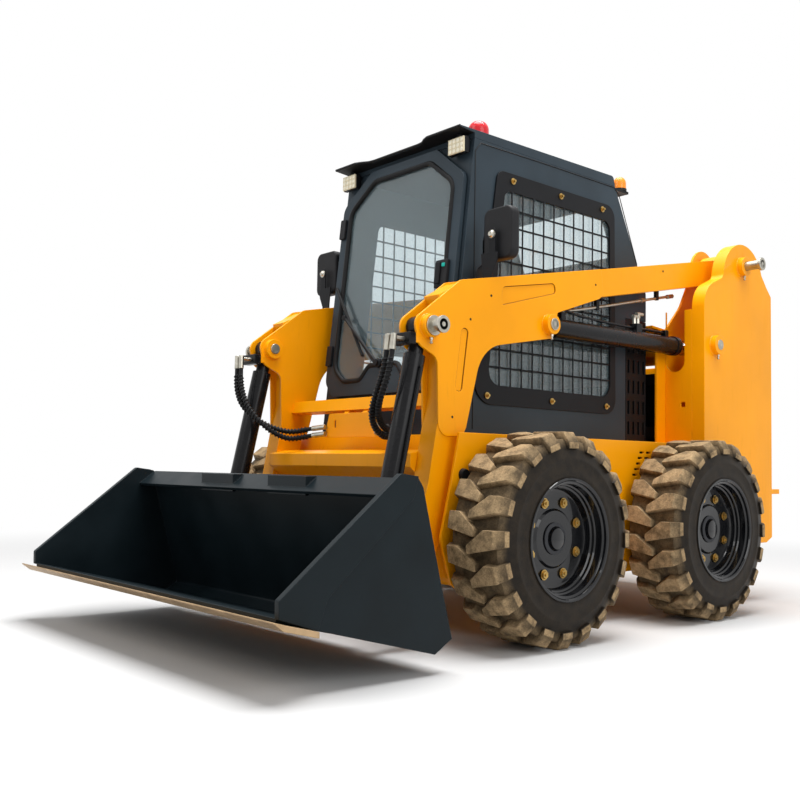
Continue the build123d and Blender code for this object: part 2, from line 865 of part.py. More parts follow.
# Pressed slots in the arms' outer plates.
LEG_SLOT = [(-233, 1156, 17), (-266, 920, 16), (-230, 914, 16), (-197, 1150, 17)]
BEAM_SLOT = [(-16, 1336, 26), (-16, 1264, 8), (306, 1352, 17), (300, 1394, 20)]
PORT_Z = 1088.0                 # tilt hoses' ports in an arm's nose
PORT_STATION = -492.0


def port_block():
    """Block across the nose's open front, ahead of the tilt barrel."""
    low, high = ARM_INNER_X, ARM_OUTER_X
    rear = PORT_STATION + 30
    solid = block(low, high, PORT_STATION, rear, PORT_Z - 18, PORT_Z + 22)
    for x_low in (low, high - ARM_PLATE):
        solid += block(x_low, x_low + ARM_PLATE, rear - 8, rear + 25, PORT_Z - 12, PORT_Z + 22)
    return solid


def lift_arm(side):
    low, high = ARM_INNER_X, ARM_OUTER_X
    outline = arm_rows()
    arm = plate(core_rows(), CORE_LOW, CORE_HIGH)
    arm = arm.fuse(
        plate(outline, low, low + ARM_PLATE),
        plate(outline, high - ARM_PLATE, high),
        plate(leg_rows(), CORE_LOW, CORE_HIGH),
        shaft(HITCH_PIN, CORE_LOW, CORE_HIGH, FOOT_RADIUS + 2),
        plate(tube_rows(), CORE_LOW, CORE_HIGH),
        shaft(PIVOT, CORE_LOW, CORE_HIGH, 72),
        shaft(LIFT_PIN, high, high + 30, BOSS_RADIUS - 6),
        shaft(TILT_PIN, high, high + 28, BOSS_RADIUS - 4),
        shaft(TILT_PIN, low - 20, low, BOSS_RADIUS - 4),
        port_block(),
    )
    for slot in (LEG_SLOT, BEAM_SLOT):
        arm -= plate(slot, CORE_HIGH, high + 1)
    for pin in (PIVOT, HITCH_PIN, LIFT_PIN, TILT_PIN):
        arm -= shaft(pin, low - 40, high + 60, PIN_RADIUS + SEAT_GAP)
    return arm if side > 0 else other_side(arm)


BAR_TOP = (-283.0, 916.0)       # front face of the upper cross bar
BAR_FOOT = (-296.0, 866.0)


def cross_bars():
    """Two bars across the legs and the torque tube across the beams' rear ends."""
    upper = plate(
        [(*BAR_TOP, 0), (*BAR_FOOT, 0), (-240, 858, 0), (-228, 908, 0)],
        -ARM_INNER_X,
        ARM_INNER_X,
    )
    lower = plate(
        [(-404, 637, 0), (-404, 687, 0), (-330, 702, 0), (-285, 640, 0), (-335, 585, 0)],
        -CORE_LOW,
        CORE_LOW,
    )
    rear = shaft((1395, 1596), -CORE_LOW, CORE_LOW, 50)
    return [upper, lower, rear]


GUARD_STATION = -310.0
ELBOW_REACH = 42.0              # from a port's axis to the hose's end
FERRULE_REACH = 66.0


def hose_guard():
    """Plate below the upper bar that shields the hoses, on two brackets."""
    low, high = GUARD_STATION, GUARD_STATION + 6
    guard = front_sheet([(-157, 853, 8), (157, 853, 8), (189, 755, 8), (-189, 755, 8)], low, high)
    for slot in (-116, 116):
        guard -= front_sheet(
            [(slot - 5, 826, 4), (slot + 5, 826, 4), (slot + 5, 794, 4), (slot - 5, 794, 4)],
            low - 1,
            high + 1,
        )

    def under(station):
        return BAR_FOOT[1] + (station - BAR_FOOT[0]) * (858 - BAR_FOOT[1]) / (-240 - BAR_FOOT[0])

    for middle in (-60, 60):
        guard += plate(
            [(high, 848, 0), (high, 800, 0), (-276, 800, 0), (-256, under(-256), 0), (-288, under(-288), 0)],
            middle - 15,
            middle + 15,
        )
    return guard


# Routes of the left tilt hoses, (x, station, height), from the port's elbow to the ferrule.
HOSE_ROUTES = {
    "a": [
        (479.5, -541, PORT_Z),
        (474, -545, 1005),
        (457, -549, 950),
        (420, -545, 885),
        (372, -522, 826),
        (339, -478, 779),
        (321, -427, 753),
        (308, -393, 748),
        (288, -367, 753),
        (261, -348, 760),
        (230, -340, 763),
    ],
    "b": [
        (510.5, -541, PORT_Z),
        (505, -546, 1003),
        (489, -551, 945),
        (455, -548, 888),
        (408, -522, 838),
        (368, -477, 802),
        (335, -428, 782),
        (312, -393, 777),
        (288, -366, 782),
        (261, -348, 789),
        (230, -340, 792),
    ],
}


def hose_points(route):
    """Corners of a hose, the first one moved from the port to the elbow's end."""
    points = [at(x, (station, height)) for x, station, height in route]
    points[0] += (points[1] - points[0]).normalized() * ELBOW_REACH
    return points


def hose_fittings():
    """Elbows on the ports, and ferrules clamped to the hose guard."""
    pieces = []
    for route in HOSE_ROUTES.values():
        x, station, height = route[0]
        points = hose_points(route)
        lead = (points[1] - points[0]).normalized()
        stub = rod_between(at(x, (PORT_STATION, height)), at(x, (station, height)), FERRULE_RADIUS - 3)
        elbow = rod_between(at(x, (station, height)) - lead * 14, points[0], FERRULE_RADIUS)
        end = points[-1]
        ferrule_end = end + (end - points[-2]).normalized() * FERRULE_REACH
        ferrule = rod_between(end, ferrule_end, FERRULE_RADIUS)
        x_low, middle = ferrule_end.X + 2, ferrule_end.Z
        foot = ferrule_end.Y - FRONT_AXLE_Y - 4
        collar = block(x_low, x_low + 14, foot, GUARD_STATION, middle - 6, middle + 6)
        pieces += both_sides(stub + elbow) + both_sides(ferrule + collar)
    return pieces


def hose(route):
    """Tube of straight runs and tangent arcs, each arc as large as its runs allow."""
    points = hose_points(route)
    radii = []
    for before, here, after in zip(points, points[1:], points[2:]):
        turn = math.radians((here - before).get_angle(after - here))
        shorter = min((here - before).length, (after - here).length)
        radii.append(0.45 * shorter / math.tan(turn / 2))
    path = FilletPolyline(*points, radius=radii)
    start = Plane(origin=points[0], z_dir=(points[1] - points[0]).normalized())
    tube = sweep(start * Circle(HOSE_RADIUS), path=path)
    section = math.pi * HOSE_RADIUS**2
    print("hose", round(path.length, 1), "long, radii", [round(radius) for radius in radii],
          "volume share", round(tube.volume / (section * path.length), 4))
    return tube


def arm_pins():
    """Pins held in the arms: pivots, lift and tilt pins and the hitch pins."""
    pins = [
        shaft(PIVOT, TOWER_INNER_X + 2, TOWER_HALF + 110, PIN_RADIUS),
        shaft(LIFT_PIN, ARM_INNER_X + 1, ARM_OUTER_X + 35, PIN_RADIUS),
        shaft(TILT_PIN, ARM_INNER_X - 25, ARM_OUTER_X + 80, PIN_RADIUS),
        shaft(HITCH_PIN, ARM_INNER_X - 22, ARM_OUTER_X + 22, PIN_RADIUS),
    ]
    return pins + [other_side(pin) for pin in pins]


def mirrors():
    """Mirror heads on their brackets, standing on the arms."""
    head = front_sheet(
        [(470, 1639.5, 34), (620, 1639.5, 34), (620, 1434.5, 34), (470, 1434.5, 34)],
        -53,
        -7,
    )
    inner = ARM_INNER_X - 12
    stem = plate(
        [
            (-70, 1290, 0),
            (-62, 1410, 0),
            (-24, 1440, 0),
            (-24, 1552, 0),
            (-7, 1552, 0),
            (-7, 1440, 0),
            (20, 1410, 0),
            (20, 1290, 0),
        ],
        inner,
        ARM_INNER_X,
    )
    return both_sides(head + stem + block(inner, 520, -24, -10, 1522, 1552))


# ---------------------------------------------------------------- cylinders
def cylinder_barrel(pin, far, length, radius, start):
    """Barrel with its eye on pin, pointing at far, bored for the rod at its end."""
    x = ARM_MID_X
    tip = along(pin, far, length)
    root = along(pin, far, start)
    gland = along(pin, far, length - 30)
    tube = rod_between(at(x, root), at(x, tip), radius)
    collar = rod_between(at(x, gland), at(x, tip), radius + 4)
    neck = rod_between(at(x, along(pin, far, EYE_RADIUS - 8)), at(x, root), radius * 0.72)
    eye = shaft(pin, x - EYE_WIDTH / 2, x + EYE_WIDTH / 2, EYE_RADIUS + 6)
    bore = rod_between(
        at(x, along(pin, far, start + 10)), at(x, along(pin, far, length + 1)), ROD_RADIUS + ROD_GAP
    )
    hole = shaft(pin, x - EYE_WIDTH, x + EYE_WIDTH, PIN_RADIUS + SEAT_GAP)
    return tube + collar + neck + eye - bore - hole


def cylinder_rod(pin, far, back):
    """Rod from its eye on far back towards pin."""
    x = ARM_MID_X
    start = along(far, pin, back)
    bar = rod_between(at(x, start), at(x, along(far, pin, EYE_RADIUS - 6)), ROD_RADIUS)
    eye = shaft(far, x - EYE_WIDTH / 2, x + EYE_WIDTH / 2, EYE_RADIUS)
    return bar + eye


def tilt_barrel():
    length = math.dist(TILT_PIN, EYE_PIN) - TILT_SHOWING
    return cylinder_barrel(TILT_PIN, EYE_PIN, length, TILT_TUBE_RADIUS, 105)


def tilt_rod():
    return cylinder_rod(TILT_PIN, EYE_PIN, TILT_SHOWING + TILT_INSIDE)


def lift_barrel():
    length = math.dist(LIFT_PIN, BASE_PIN) - LIFT_SHOWING
    return cylinder_barrel(LIFT_PIN, BASE_PIN, length, LIFT_TUBE_RADIUS, 78)


def lift_rod():
    return cylinder_rod(LIFT_PIN, BASE_PIN, LIFT_SHOWING + LIFT_INSIDE)


# ---------------------------------------------------------------- bucket
HEEL = (-664.0, 69.0)           # underside of the floor where it turns up
FLOOR_FRONT = (-1240.0, 215.0)
BACK_LOW = (-598.0, 110.0)
BACK_MID = (-653.0, 300.0)
BACK_TOP = (-727.0, 582.0)
EDGE_BACK = EDGE_STATION + EDGE_DEPTH


def floor_under(station):
    """Height of the floor's underside at a station."""
    slope = (FLOOR_FRONT[1] - HEEL[1]) / (FLOOR_FRONT[0] - HEEL[0])
    return HEEL[1] + (station - HEEL[0]) * slope


def bucket_shell():
    """Floor, back and top lip in one bent sheet, side plates, wear strips and lip steps."""
    sheet = BUCKET_PLATE
    half = BUCKET_HALF - sheet
    shell = plate(
        [
            (*FLOOR_FRONT, 0),
            (*HEEL, 20),
            (*BACK_LOW, 20),
            (*BACK_MID, 0),
            (*BACK_TOP, 0),
            (-735, 604, 0),
            (-806, 550, 0),
            (-799, 540, 0),
            (-741, 583, 0),
            (BACK_MID[0] - sheet, BACK_MID[1] - 2, 0),
            (BACK_LOW[0] - sheet - 2, BACK_LOW[1] + 4, 10),
            (HEEL[0] - 2, HEEL[1] + sheet + 2, 10),
            (FLOOR_FRONT[0], FLOOR_FRONT[1] + sheet + 1, 0),
        ],
        -half,
        half,
    )
    side = plate(
        [
            (-819, 618, 14),
            (-1246, 276, 12),
            (-1245, 226, 0),
            (EDGE_BACK, floor_under(EDGE_BACK) + 1, 0),
            (HEEL[0] + 3, HEEL[1] - 5, 0),
            (BACK_LOW[0] + 9, BACK_LOW[1] - 5, 0),
            (BACK_MID[0] + 8, BACK_MID[1], 0),
            (BACK_TOP[0] + 8, BACK_TOP[1] - 6, 0),
            (-741, 606, 0),
        ],
        half,
        BUCKET_HALF,
    )
    strip = plate(
        [
            (-819, 618, 14),
            (-1246, 276, 12),
            (-1245, 226, 0),
            (EDGE_BACK, floor_under(EDGE_BACK) + 1, 0),
            (-1112, floor_under(-1112) + 4, 0),
            (-1083, 267, 30),
            (-765, 543, 20),
            (-748, 609, 0),
        ],
        BUCKET_HALF,
        BUCKET_HALF + DOUBLER,
    )
    step = plate([(-789, 601, 0), (-789, 534, 0), (-776, 534, 0), (-741, 572, 0), (-732, 601, 0)], 118, 352)
    return shell.fuse(*both_sides(side), *both_sides(strip), *both_sides(step))


def cutting_edge():
    """Flat bar under the floor's front, wider than the bucket, ground to an edge."""
    tip_z = 227.0
    return plate(
        [
            (EDGE_STATION, tip_z, 0),
            (EDGE_STATION, tip_z - 4, 0),
            (EDGE_STATION + 32, floor_under(EDGE_STATION + 32) - EDGE_THICK, 0),
            (EDGE_BACK, floor_under(EDGE_BACK) - EDGE_THICK, 0),
            (EDGE_BACK, floor_under(EDGE_BACK), 0),
            (*FLOOR_FRONT, 0),
        ],
        -EDGE_HALF,
        EDGE_HALF,
    )


def back_station(height):
    """Rear face of the bucket's back plate at a height."""
    lower, upper = line_through(BACK_MID, BACK_LOW), line_through(BACK_MID, BACK_TOP)
    return lower(height) if height < BACK_MID[1] else upper(height)


HITCH_FOOT = 130.0
HITCH_TOP = 528.0
HITCH_PLATE = 16.0


def quick_hitch():
    """Hitch frame on the bucket's back with ears for the legs and the tilt rods."""
    half = ARM_OUTER_X + TUBE_INSET + 7
    knee = BACK_MID[1]

    def frame_part(x_low, x_high, foot, top):
        rows = [(back_station(foot), foot, 0), (back_station(foot) + HITCH_PLATE, foot, 0)]
        if foot < knee < top:
            rows.append((back_station(knee) + HITCH_PLATE, knee, 0))
        rows += [(back_station(top) + HITCH_PLATE, top, 0), (back_station(top), top, 0)]
        if foot < knee < top:
            rows.append((back_station(knee), knee, 0))
        return plate(rows, x_low, x_high)

    inner_high = CORE_LOW - EAR_GAP
    outer_low = CORE_HIGH + EAR_GAP
    hitch = frame_part(-inner_high, inner_high, HITCH_FOOT, HITCH_TOP)
    parts = []
    for x_low, x_high in ((outer_low, half), (-half, -outer_low)):
        parts.append(frame_part(x_low, x_high, HITCH_FOOT, HITCH_TOP))
    parts += both_sides(frame_part(inner_high - 1, outer_low + 1, HITCH_TOP - 24, HITCH_TOP))
    for x_low in (inner_high - PLATE, outer_low):
        ear = plate(
            [
                (back_station(HITCH_FOOT + 6) + 10, HITCH_FOOT + 6, 0),
                (HITCH_PIN[0] - 10, HITCH_PIN[1] - 48, 0),
                (HITCH_PIN[0] + 47, HITCH_PIN[1] - 20, 40),
                (HITCH_PIN[0] + 30, HITCH_PIN[1] + 46, 40),
                (EYE_PIN[0] + 46, EYE_PIN[1] + 10, 40),
                (EYE_PIN[0] + 10, EYE_PIN[1] + 60, 30),
                (back_station(480) + 10, 480, 0),
                (back_station(knee) + 10, knee, 0),
            ],
            x_low,
            x_low + PLATE,
        )
        ear -= shaft(HITCH_PIN, x_low - 1, x_low + PLATE + 1, PIN_RADIUS + SEAT_GAP)
        parts += both_sides(ear)
    return hitch.fuse(*parts)


# ---------------------------------------------------------------- door
DOOR_ROWS = [
    (210, 1940, 30),
    (-210, 1940, 30),
    (-DOOR_HALF, 1802, 60),
    (-DOOR_HALF, 1000, 60),
    (-325, 936, 60),
    (325, 936, 60),
    (DOOR_HALF, 1000, 60),
    (DOOR_HALF, 1802, 60),
]
PANE_ROWS = [
    (178, 1890, 60),
    (-178, 1890, 60),
    (-328, 1775, 80),
    (-328, 1060, 90),
    (-255, 1000, 60),
    (-140, 1000, 50),
    (-90, 1060, 40),
    (90, 1060, 40),
    (140, 1000, 50),
    (255, 1000, 60),
    (328, 1060, 90),
    (328, 1775, 80),
]


def door_frame():
    return front_panel(DOOR_ROWS, MOVE_GAP, DOOR_THICK) - front_panel(PANE_ROWS, 0, DOOR_THICK + 2)


def door_glass():
    middle = (MOVE_GAP + DOOR_THICK) / 2
    return front_panel(PANE_ROWS, middle - GLASS / 2, middle + GLASS / 2)


def door_fittings():
    """Door handle on the latch side, and the two hinges."""
    grip = front_panel(
        [(346, 1340, 10), (318, 1340, 10), (318, 1180, 10), (346, 1180, 10)],
        DOOR_THICK,
        DOOR_THICK + 24,
    )
    hinges = [
        front_panel(
            [(-345, height + 45, 6), (-380, height + 45, 6), (-380, height - 45, 6), (-345, height - 45, 6)],
            DOOR_THICK,
            DOOR_THICK + 14,
        )
        for height in (1120, 1700)
    ]
    return [grip, *hinges]


# ---------------------------------------------------------------- all the pieces
def main():
    os.makedirs("parts", exist_ok=True)
    sides = (("left", 1), ("right", -1))
    axles = (("front", FRONT_AXLE), ("rear", REAR_AXLE))
    left_tyre, left_rim = tyre(), rim()
    left_hoses = {run: hose(route) for run, route in HOSE_ROUTES.items()}
    left_cylinders = {
        "tilt_barrel": tilt_barrel(),
        "tilt_rod": tilt_rod(),
        "lift_barrel": lift_barrel(),
        "lift_rod": lift_rod(),
    }
    for name, side in sides:
        save(f"tower_{name}", tower(side))
        save(f"lift_arm_{name}", lift_arm(side))
        for axle_name, axle in axles:
            save(f"tyre_{axle_name}_{name}", wheel_at(left_tyre, side, axle))
            save(f"rim_{axle_name}_{name}", wheel_at(left_rim, side, axle))
        for node, solid in left_cylinders.items():
            save(f"{node}_{name}", solid if side > 0 else other_side(solid))
        for run, solid in left_hoses.items():
            save(f"tilt_hose_{name}_{run}", solid if side > 0 else other_side(solid))
    save("chassis_frame", chassis_frame())
    save("tower_plates", *tower_plates())
    save("tower_ends", *tower_ends())
    save("axle_housings", *axle_housings())
    save("engine_block", engine_block())
    save("engine_hood", engine_hood())
    save("rear_door", rear_door())
    save("cab_sides", *cab_sides())
    save("side_windows", *side_windows())
    save("window_guards", *window_guards())
    save("vent_panels", *vent_panels())
    save("cab_roof", cab_roof())
    save("cab_front", cab_front())
    save("cab_rear", cab_rear())
    save("rear_window", rear_window())
    save("cab_floor", cab_floor())
    save("seat", *seat())
    save("control_pods", *control_pods())
    save("work_lights", *work_lights())
    save("beacon", beacon())
    save("corner_lamps", *corner_lamps())
    save("rubber_stops", *rubber_stops())
    save("cross_bars", *cross_bars())
    save("hose_guard", hose_guard())
    save("hose_fittings", *hose_fittings())
    save("arm_pins", *arm_pins())
    save("mirrors", *mirrors())
    save("bucket_shell", bucket_shell())
    save("cutting_edge", cutting_edge())
    save("quick_hitch", quick_hitch())
    save("door_frame", door_frame())
    save("door_glass", door_glass())
    save("door_fittings", *door_fittings())


if __name__ == "__main__":
    main()
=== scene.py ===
"""Skid steer loader: finishes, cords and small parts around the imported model.

Metres, +Z up, -Y is the machine's front, +X its left.
"""

import json
import math

import bmesh
import bpy
from mathutils import Matrix, Vector


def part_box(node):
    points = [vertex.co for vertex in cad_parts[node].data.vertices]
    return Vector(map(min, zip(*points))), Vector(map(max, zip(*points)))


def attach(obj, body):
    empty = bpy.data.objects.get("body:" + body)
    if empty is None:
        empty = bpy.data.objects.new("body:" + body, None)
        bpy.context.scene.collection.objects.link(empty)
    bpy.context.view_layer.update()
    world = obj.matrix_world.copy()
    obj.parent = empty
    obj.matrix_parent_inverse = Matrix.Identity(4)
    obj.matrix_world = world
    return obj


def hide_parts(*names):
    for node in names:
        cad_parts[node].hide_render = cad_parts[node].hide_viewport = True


bl_info = {
    "name": "Skid steer loader finish",
    "version": (1, 0, 0),
    "blender": (4, 5, 0),
    "location": "3D view sidebar, Loader tab",
    "description": "Dresses the packed skid steer loader with finishes, cords and small parts",
    "category": "Object",
}

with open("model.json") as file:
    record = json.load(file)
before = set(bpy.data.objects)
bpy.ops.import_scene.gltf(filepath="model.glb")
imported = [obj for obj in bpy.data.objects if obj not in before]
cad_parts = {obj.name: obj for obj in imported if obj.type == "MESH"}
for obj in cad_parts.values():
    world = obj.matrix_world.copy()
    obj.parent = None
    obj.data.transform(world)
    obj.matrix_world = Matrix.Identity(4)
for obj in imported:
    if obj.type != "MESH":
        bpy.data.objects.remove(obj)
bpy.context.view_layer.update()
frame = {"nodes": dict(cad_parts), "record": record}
BODY_OF = {node: body for body, nodes in frame["record"]["behaviour"]["bodies"].items() for node in nodes}
SLOT_OF = {row["node"]: row["material_slot"] for row in frame["record"]["subparts"]}
SIDES = (("left", 1), ("right", -1))


# ------------------------------------------------------------------ settings
class LoaderColours(bpy.types.PropertyGroup):
    """Paint and plastic colours, as sRGB hex codes."""
    enamel: bpy.props.StringProperty(
        name="Body enamel", description="Arms, towers and frame", default="F6A000")
    cab: bpy.props.StringProperty(
        name="Cab coat", description="Cab panels, roof and guards", default="2A353D")
    bucket: bpy.props.StringProperty(
        name="Bucket paint", description="Bucket and its hitch frame", default="10191D")
    glass: bpy.props.StringProperty(
        name="Glass tint", description="Cab glass, in the mass", default="F0F7F9")
    rubber: bpy.props.StringProperty(
        name="Tyre rubber", description="Clean rubber of sidewalls and grooves", default="0F0D0C")
    dust: bpy.props.StringProperty(
        name="Tyre dust", description="Dried soil on the lugs", default="A88F6C")


class LoaderSizes(bpy.types.PropertyGroup):
    """Sizes that a user would change."""
    ease: bpy.props.FloatProperty(
        name="Edge ease", description="Width of the rounding on plate edges",
        default=0.0018, min=0.0005, max=0.006, unit="LENGTH")
    floor: bpy.props.FloatProperty(
        name="Floor size", description="Side of the floor sheet", default=60.0, unit="LENGTH")


def colours():
    return bpy.context.scene.loader_colours


def sizes():
    return bpy.context.scene.loader_sizes


# ------------------------------------------------------------------ node helpers
WHITE = (1.0, 1.0, 1.0, 1.0)
BLACK = (0.0, 0.0, 0.0, 1.0)


def linear(code):
    """sRGB hex to linear RGBA."""
    values = [int(code[i:i + 2], 16) / 255 for i in (0, 2, 4)]
    return (*[v / 12.92 if v <= 0.04045 else ((v + 0.055) / 1.055) ** 2.4 for v in values], 1.0)


def shade(colour, factor):
    return (*[min(1.0, c * factor) for c in colour[:3]], 1.0)


def add(tree, kind, inputs=(), **settings):
    """Adds a node, with its settings, and its inputs as values or links."""
    made = tree.nodes.new(kind)
    for name, value in settings.items():
        setattr(made, name, value)
    for socket, value in dict(inputs).items():
        if isinstance(value, bpy.types.NodeSocket):
            tree.links.new(value, made.inputs[socket])
        else:
            made.inputs[socket].default_value = value
    return made


def place_of(tree):
    """Object coordinates, in metres."""
    return add(tree, "ShaderNodeTexCoord").outputs["Object"]


def noise(tree, size, detail, place=None, **inputs):
    """Cloudy pattern with spots of this size in mm."""
    vector = place or place_of(tree)
    return add(tree, "ShaderNodeTexNoise",
               {"Vector": vector, "Scale": 1000.0 / size, "Detail": detail, **inputs}).outputs["Fac"]


def graded(tree, factor, low, high, first, second):
    """Colour going from first to second as factor goes from low to high."""
    ramp = add(tree, "ShaderNodeValToRGB", {"Fac": factor})
    for element, position, colour in zip(ramp.color_ramp.elements, (low, high), (first, second)):
        element.position = position
        element.color = colour
    return ramp.outputs["Color"]


def spread(tree, value, low, high, start=0.0, end=1.0, **settings):
    """Value going from start to end as it goes from low to high."""
    ends = {"From Min": low, "From Max": high, "To Min": start, "To Max": end}
    return add(tree, "ShaderNodeMapRange", {"Value": value, **ends}, **settings).outputs[0]


def combined(tree, operation, first, second):
    return add(tree, "ShaderNodeMath", {0: first, 1: second}, operation=operation).outputs[0]


def blended(tree, amount, first, second):
    """Colour that turns from first to second with amount."""
    return add(tree, "ShaderNodeMix", {"Factor": amount, 6: first, 7: second}, data_type="RGBA").outputs[2]


def mixed(tree, amount, first, second):
    """Shader that turns from first to second with amount."""
    return add(tree, "ShaderNodeMixShader", {0: amount, 1: first.outputs[0], 2: second.outputs[0]})


def relief(tree, height, strength, distance=0.001):
    return add(tree, "ShaderNodeBump",
               {"Height": height, "Strength": strength, "Distance": distance}).outputs[0]


def surface(tree, colour, roughness, **inputs):
    """Principled shader; an input's name has underscores for its spaces."""
    named = {name.replace("_", " "): value for name, value in inputs.items()}
    return add(tree, "ShaderNodeBsdfPrincipled", {"Base Color": colour, "Roughness": roughness, **named})


# ------------------------------------------------------------------ materials
def sprayed_enamel(tree):
    """Two-pack machine enamel sprayed on steel: glossy, with a shallow orange peel."""
    body, place = linear(colours().enamel), place_of(tree)
    tone = graded(tree, noise(tree, 420, 4.0), 0.35, 0.7, shade(body, 0.93), shade(body, 1.05))
    stretch = add(tree, "ShaderNodeMapping", {"Vector": place, "Scale": (1.0, 1.0, 0.12)}).outputs[0]
    streak = noise(tree, 26, 5.0, stretch, Roughness=0.6)
    height = add(tree, "ShaderNodeSeparateXYZ", {"Vector": place}).outputs["Z"]
    amount = combined(tree, "MULTIPLY", graded(tree, streak, 0.60, 0.78, BLACK, WHITE),
                      spread(tree, height, 0.2, 1.2, 0.30, 0.10))
    return surface(tree, blended(tree, amount, tone, linear("8A5A14")),
                   spread(tree, streak, 0.3, 0.8, 0.28, 0.45), Normal=relief(tree, noise(tree, 9, 2.0), 0.05),
                   Coat_Weight=0.05, Coat_Roughness=0.12, Specular_IOR_Level=0.19)


def powder_coat(tree):
    """Polyester powder coat: satin, finely pebbled, with a breath of dust on it."""
    body = linear(colours().cab)
    tone = graded(tree, noise(tree, 300, 5.0), 0.35, 0.72, shade(body, 0.82), shade(body, 1.18))
    return surface(tree, tone, 0.42, Normal=relief(tree, noise(tree, 5, 2.0), 0.08), Specular_IOR_Level=0.19)


def plain_paint(tree, code, roughness, spot=60, coat=0.0):
    """Brushed-out or sprayed paint of one colour, slightly uneven."""
    body, cloud = linear(code), noise(tree, spot, 5.0)
    tone = graded(tree, cloud, 0.3, 0.75, shade(body, 0.8), shade(body, 1.25))
    return surface(tree, tone, spread(tree, cloud, 0.3, 0.75, roughness * 0.8, roughness * 1.25),
                   Coat_Weight=coat, Specular_IOR_Level=0.14)


def bucket_paint(tree):
    """Blue-black implement paint on the bucket."""
    return plain_paint(tree, colours().bucket, 0.38, spot=220)


def bare_metal(tree, code, roughness, grain=3.0):
    """Bare or plated metal with fine, uneven gloss."""
    body = linear(code)
    tone = graded(tree, noise(tree, grain * 8, 6.0), 0.3, 0.7, shade(body, 0.75), shade(body, 1.1))
    return surface(tree, tone, roughness, Metallic=1.0,
                   Normal=relief(tree, noise(tree, grain, 3.0), 0.1, 0.0005))


def cab_glass(tree):
    """Tempered float glass, faintly tinted in the mass, with a thin film of dust."""
    pane = surface(tree, linear(colours().glass), 0.02, IOR=1.45, Transmission_Weight=1.0)
    dust = add(tree, "ShaderNodeBsdfDiffuse", {"Color": linear("B4CDD4")})
    return mixed(tree, spread(tree, noise(tree, 450, 3.0), 0.3, 0.7, 0.07, 0.12), pane, dust)


def soft_plastic(tree, code, roughness, grain=4.0):
    """Moulded plastic or rubber with a fine matt grain."""
    body = linear(code)
    tone = graded(tree, noise(tree, 90, 4.0), 0.3, 0.75, shade(body, 0.85), shade(body, 1.25))
    return surface(tree, tone, roughness, Normal=relief(tree, noise(tree, grain, 3.0), 0.15),
                   Specular_IOR_Level=0.17)


def tyre_rubber(tree):
    """Tyre rubber, its lugs greyed by dried soil where the dust attribute says so."""
    reach = add(tree, "ShaderNodeAttribute", attribute_name="dust", attribute_type="GEOMETRY").outputs["Fac"]
    amount = combined(tree, "MULTIPLY", reach,
                      spread(tree, noise(tree, 38, 6.0, Roughness=0.65), 0.34, 0.60, 0.35, 1.0))
    fine, dust = noise(tree, 5, 4.0), linear(colours().dust)
    soil = graded(tree, fine, 0.3, 0.7, shade(dust, 0.75), shade(dust, 1.2))
    return surface(tree, blended(tree, amount, linear(colours().rubber), soil),
                   spread(tree, amount, 0.0, 0.8, 0.5, 0.95), Normal=relief(tree, fine, 0.35, 0.002),
                   Specular_IOR_Level=0.13)


def clear_lens(tree, code):
    """Moulded polycarbonate lens, coloured in the mass and lightly hazed."""
    return surface(tree, linear(code), 0.22, Specular_IOR_Level=0.35)


def pale_floor(tree):
    """Seamless studio paper: it keeps the object's shadow and fades to white far out."""
    reach = add(tree, "ShaderNodeVectorMath", {0: place_of(tree)}, operation="LENGTH").outputs["Value"]
    white = add(tree, "ShaderNodeEmission", {"Color": WHITE, "Strength": 1.0})
    return mixed(tree, spread(tree, reach, 2.6, 6.0, interpolation_type="SMOOTHSTEP"),
                 surface(tree, linear("CCCCCC"), 0.9), white)


MAKERS = {
    # function, then its colour, roughness and the rest of its values
    "sprayed_enamel": (sprayed_enamel,),
    "powder_coat": (powder_coat,),
    "bucket_paint": (bucket_paint,),
    "cab_glass": (cab_glass,),
    "tyre_rubber": (tyre_rubber,),
    "pale_floor": (pale_floor,),
    # chassis black, brushed out
    "black_paint": (plain_paint, "121316", 0.42),
    # gloss black on the cylinders' tubes
    "cylinder_paint": (plain_paint, "121214", 0.26, 60, 0.08),
    # stove enamel of the pressed rims
    "rim_enamel": (plain_paint, "0D0E11", 0.18, 60, 0.6),
    # raw iron castings, seen through their oil
    "cast_iron": (plain_paint, "3C3D40", 0.6, 12),
    # clear zinc plate on pins and fittings
    "zinc_plate": (bare_metal, "B8B4A8", 0.32),
    # yellow chromated zinc on bolts and nuts
    "yellow_zinc": (bare_metal, "B99A5C", 0.35),
    # cutting edge scoured by soil
    "worn_steel": (bare_metal, "B59A78", 0.5, 6.0),
    # hard chrome of the cylinders' rods
    "hard_chrome": (bare_metal, "D4D6DA", 0.08, 1.0),
    # silvered mirror glass
    "mirror_silver": (bare_metal, "E4E8EA", 0.03, 2.0),
    # seals, stops and wiper
    "black_rubber": (soft_plastic, "101011", 0.55),
    # moulded housings
    "moulded_abs": (soft_plastic, "1B1B1D", 0.5),
    # vinyl of the seat
    "seat_vinyl": (soft_plastic, "1C1C1E", 0.45, 7.0),
    # hoses and their spiral guards
    "hose_rubber": (soft_plastic, "131314", 0.42, 3.0),
    # latch button's cap
    "teal_cap": (soft_plastic, "1FA79B", 0.4),
    # painted shade: a dark brown line standing for the shade in the corners of the arms' pressed slots
    "painted_corner_shade": (soft_plastic, "6E3F06", 0.8),
    # lenses of the work lights and of their emitters
    "work_lens": (clear_lens, "D9CDAE"),
    "led_lens": (clear_lens, "EFE8D2"),
    # beacon and corner lamps
    "red_lens": (clear_lens, "C81E28"),
    "orange_lens": (clear_lens, "F08A1E"),
}
MATERIALS = {}


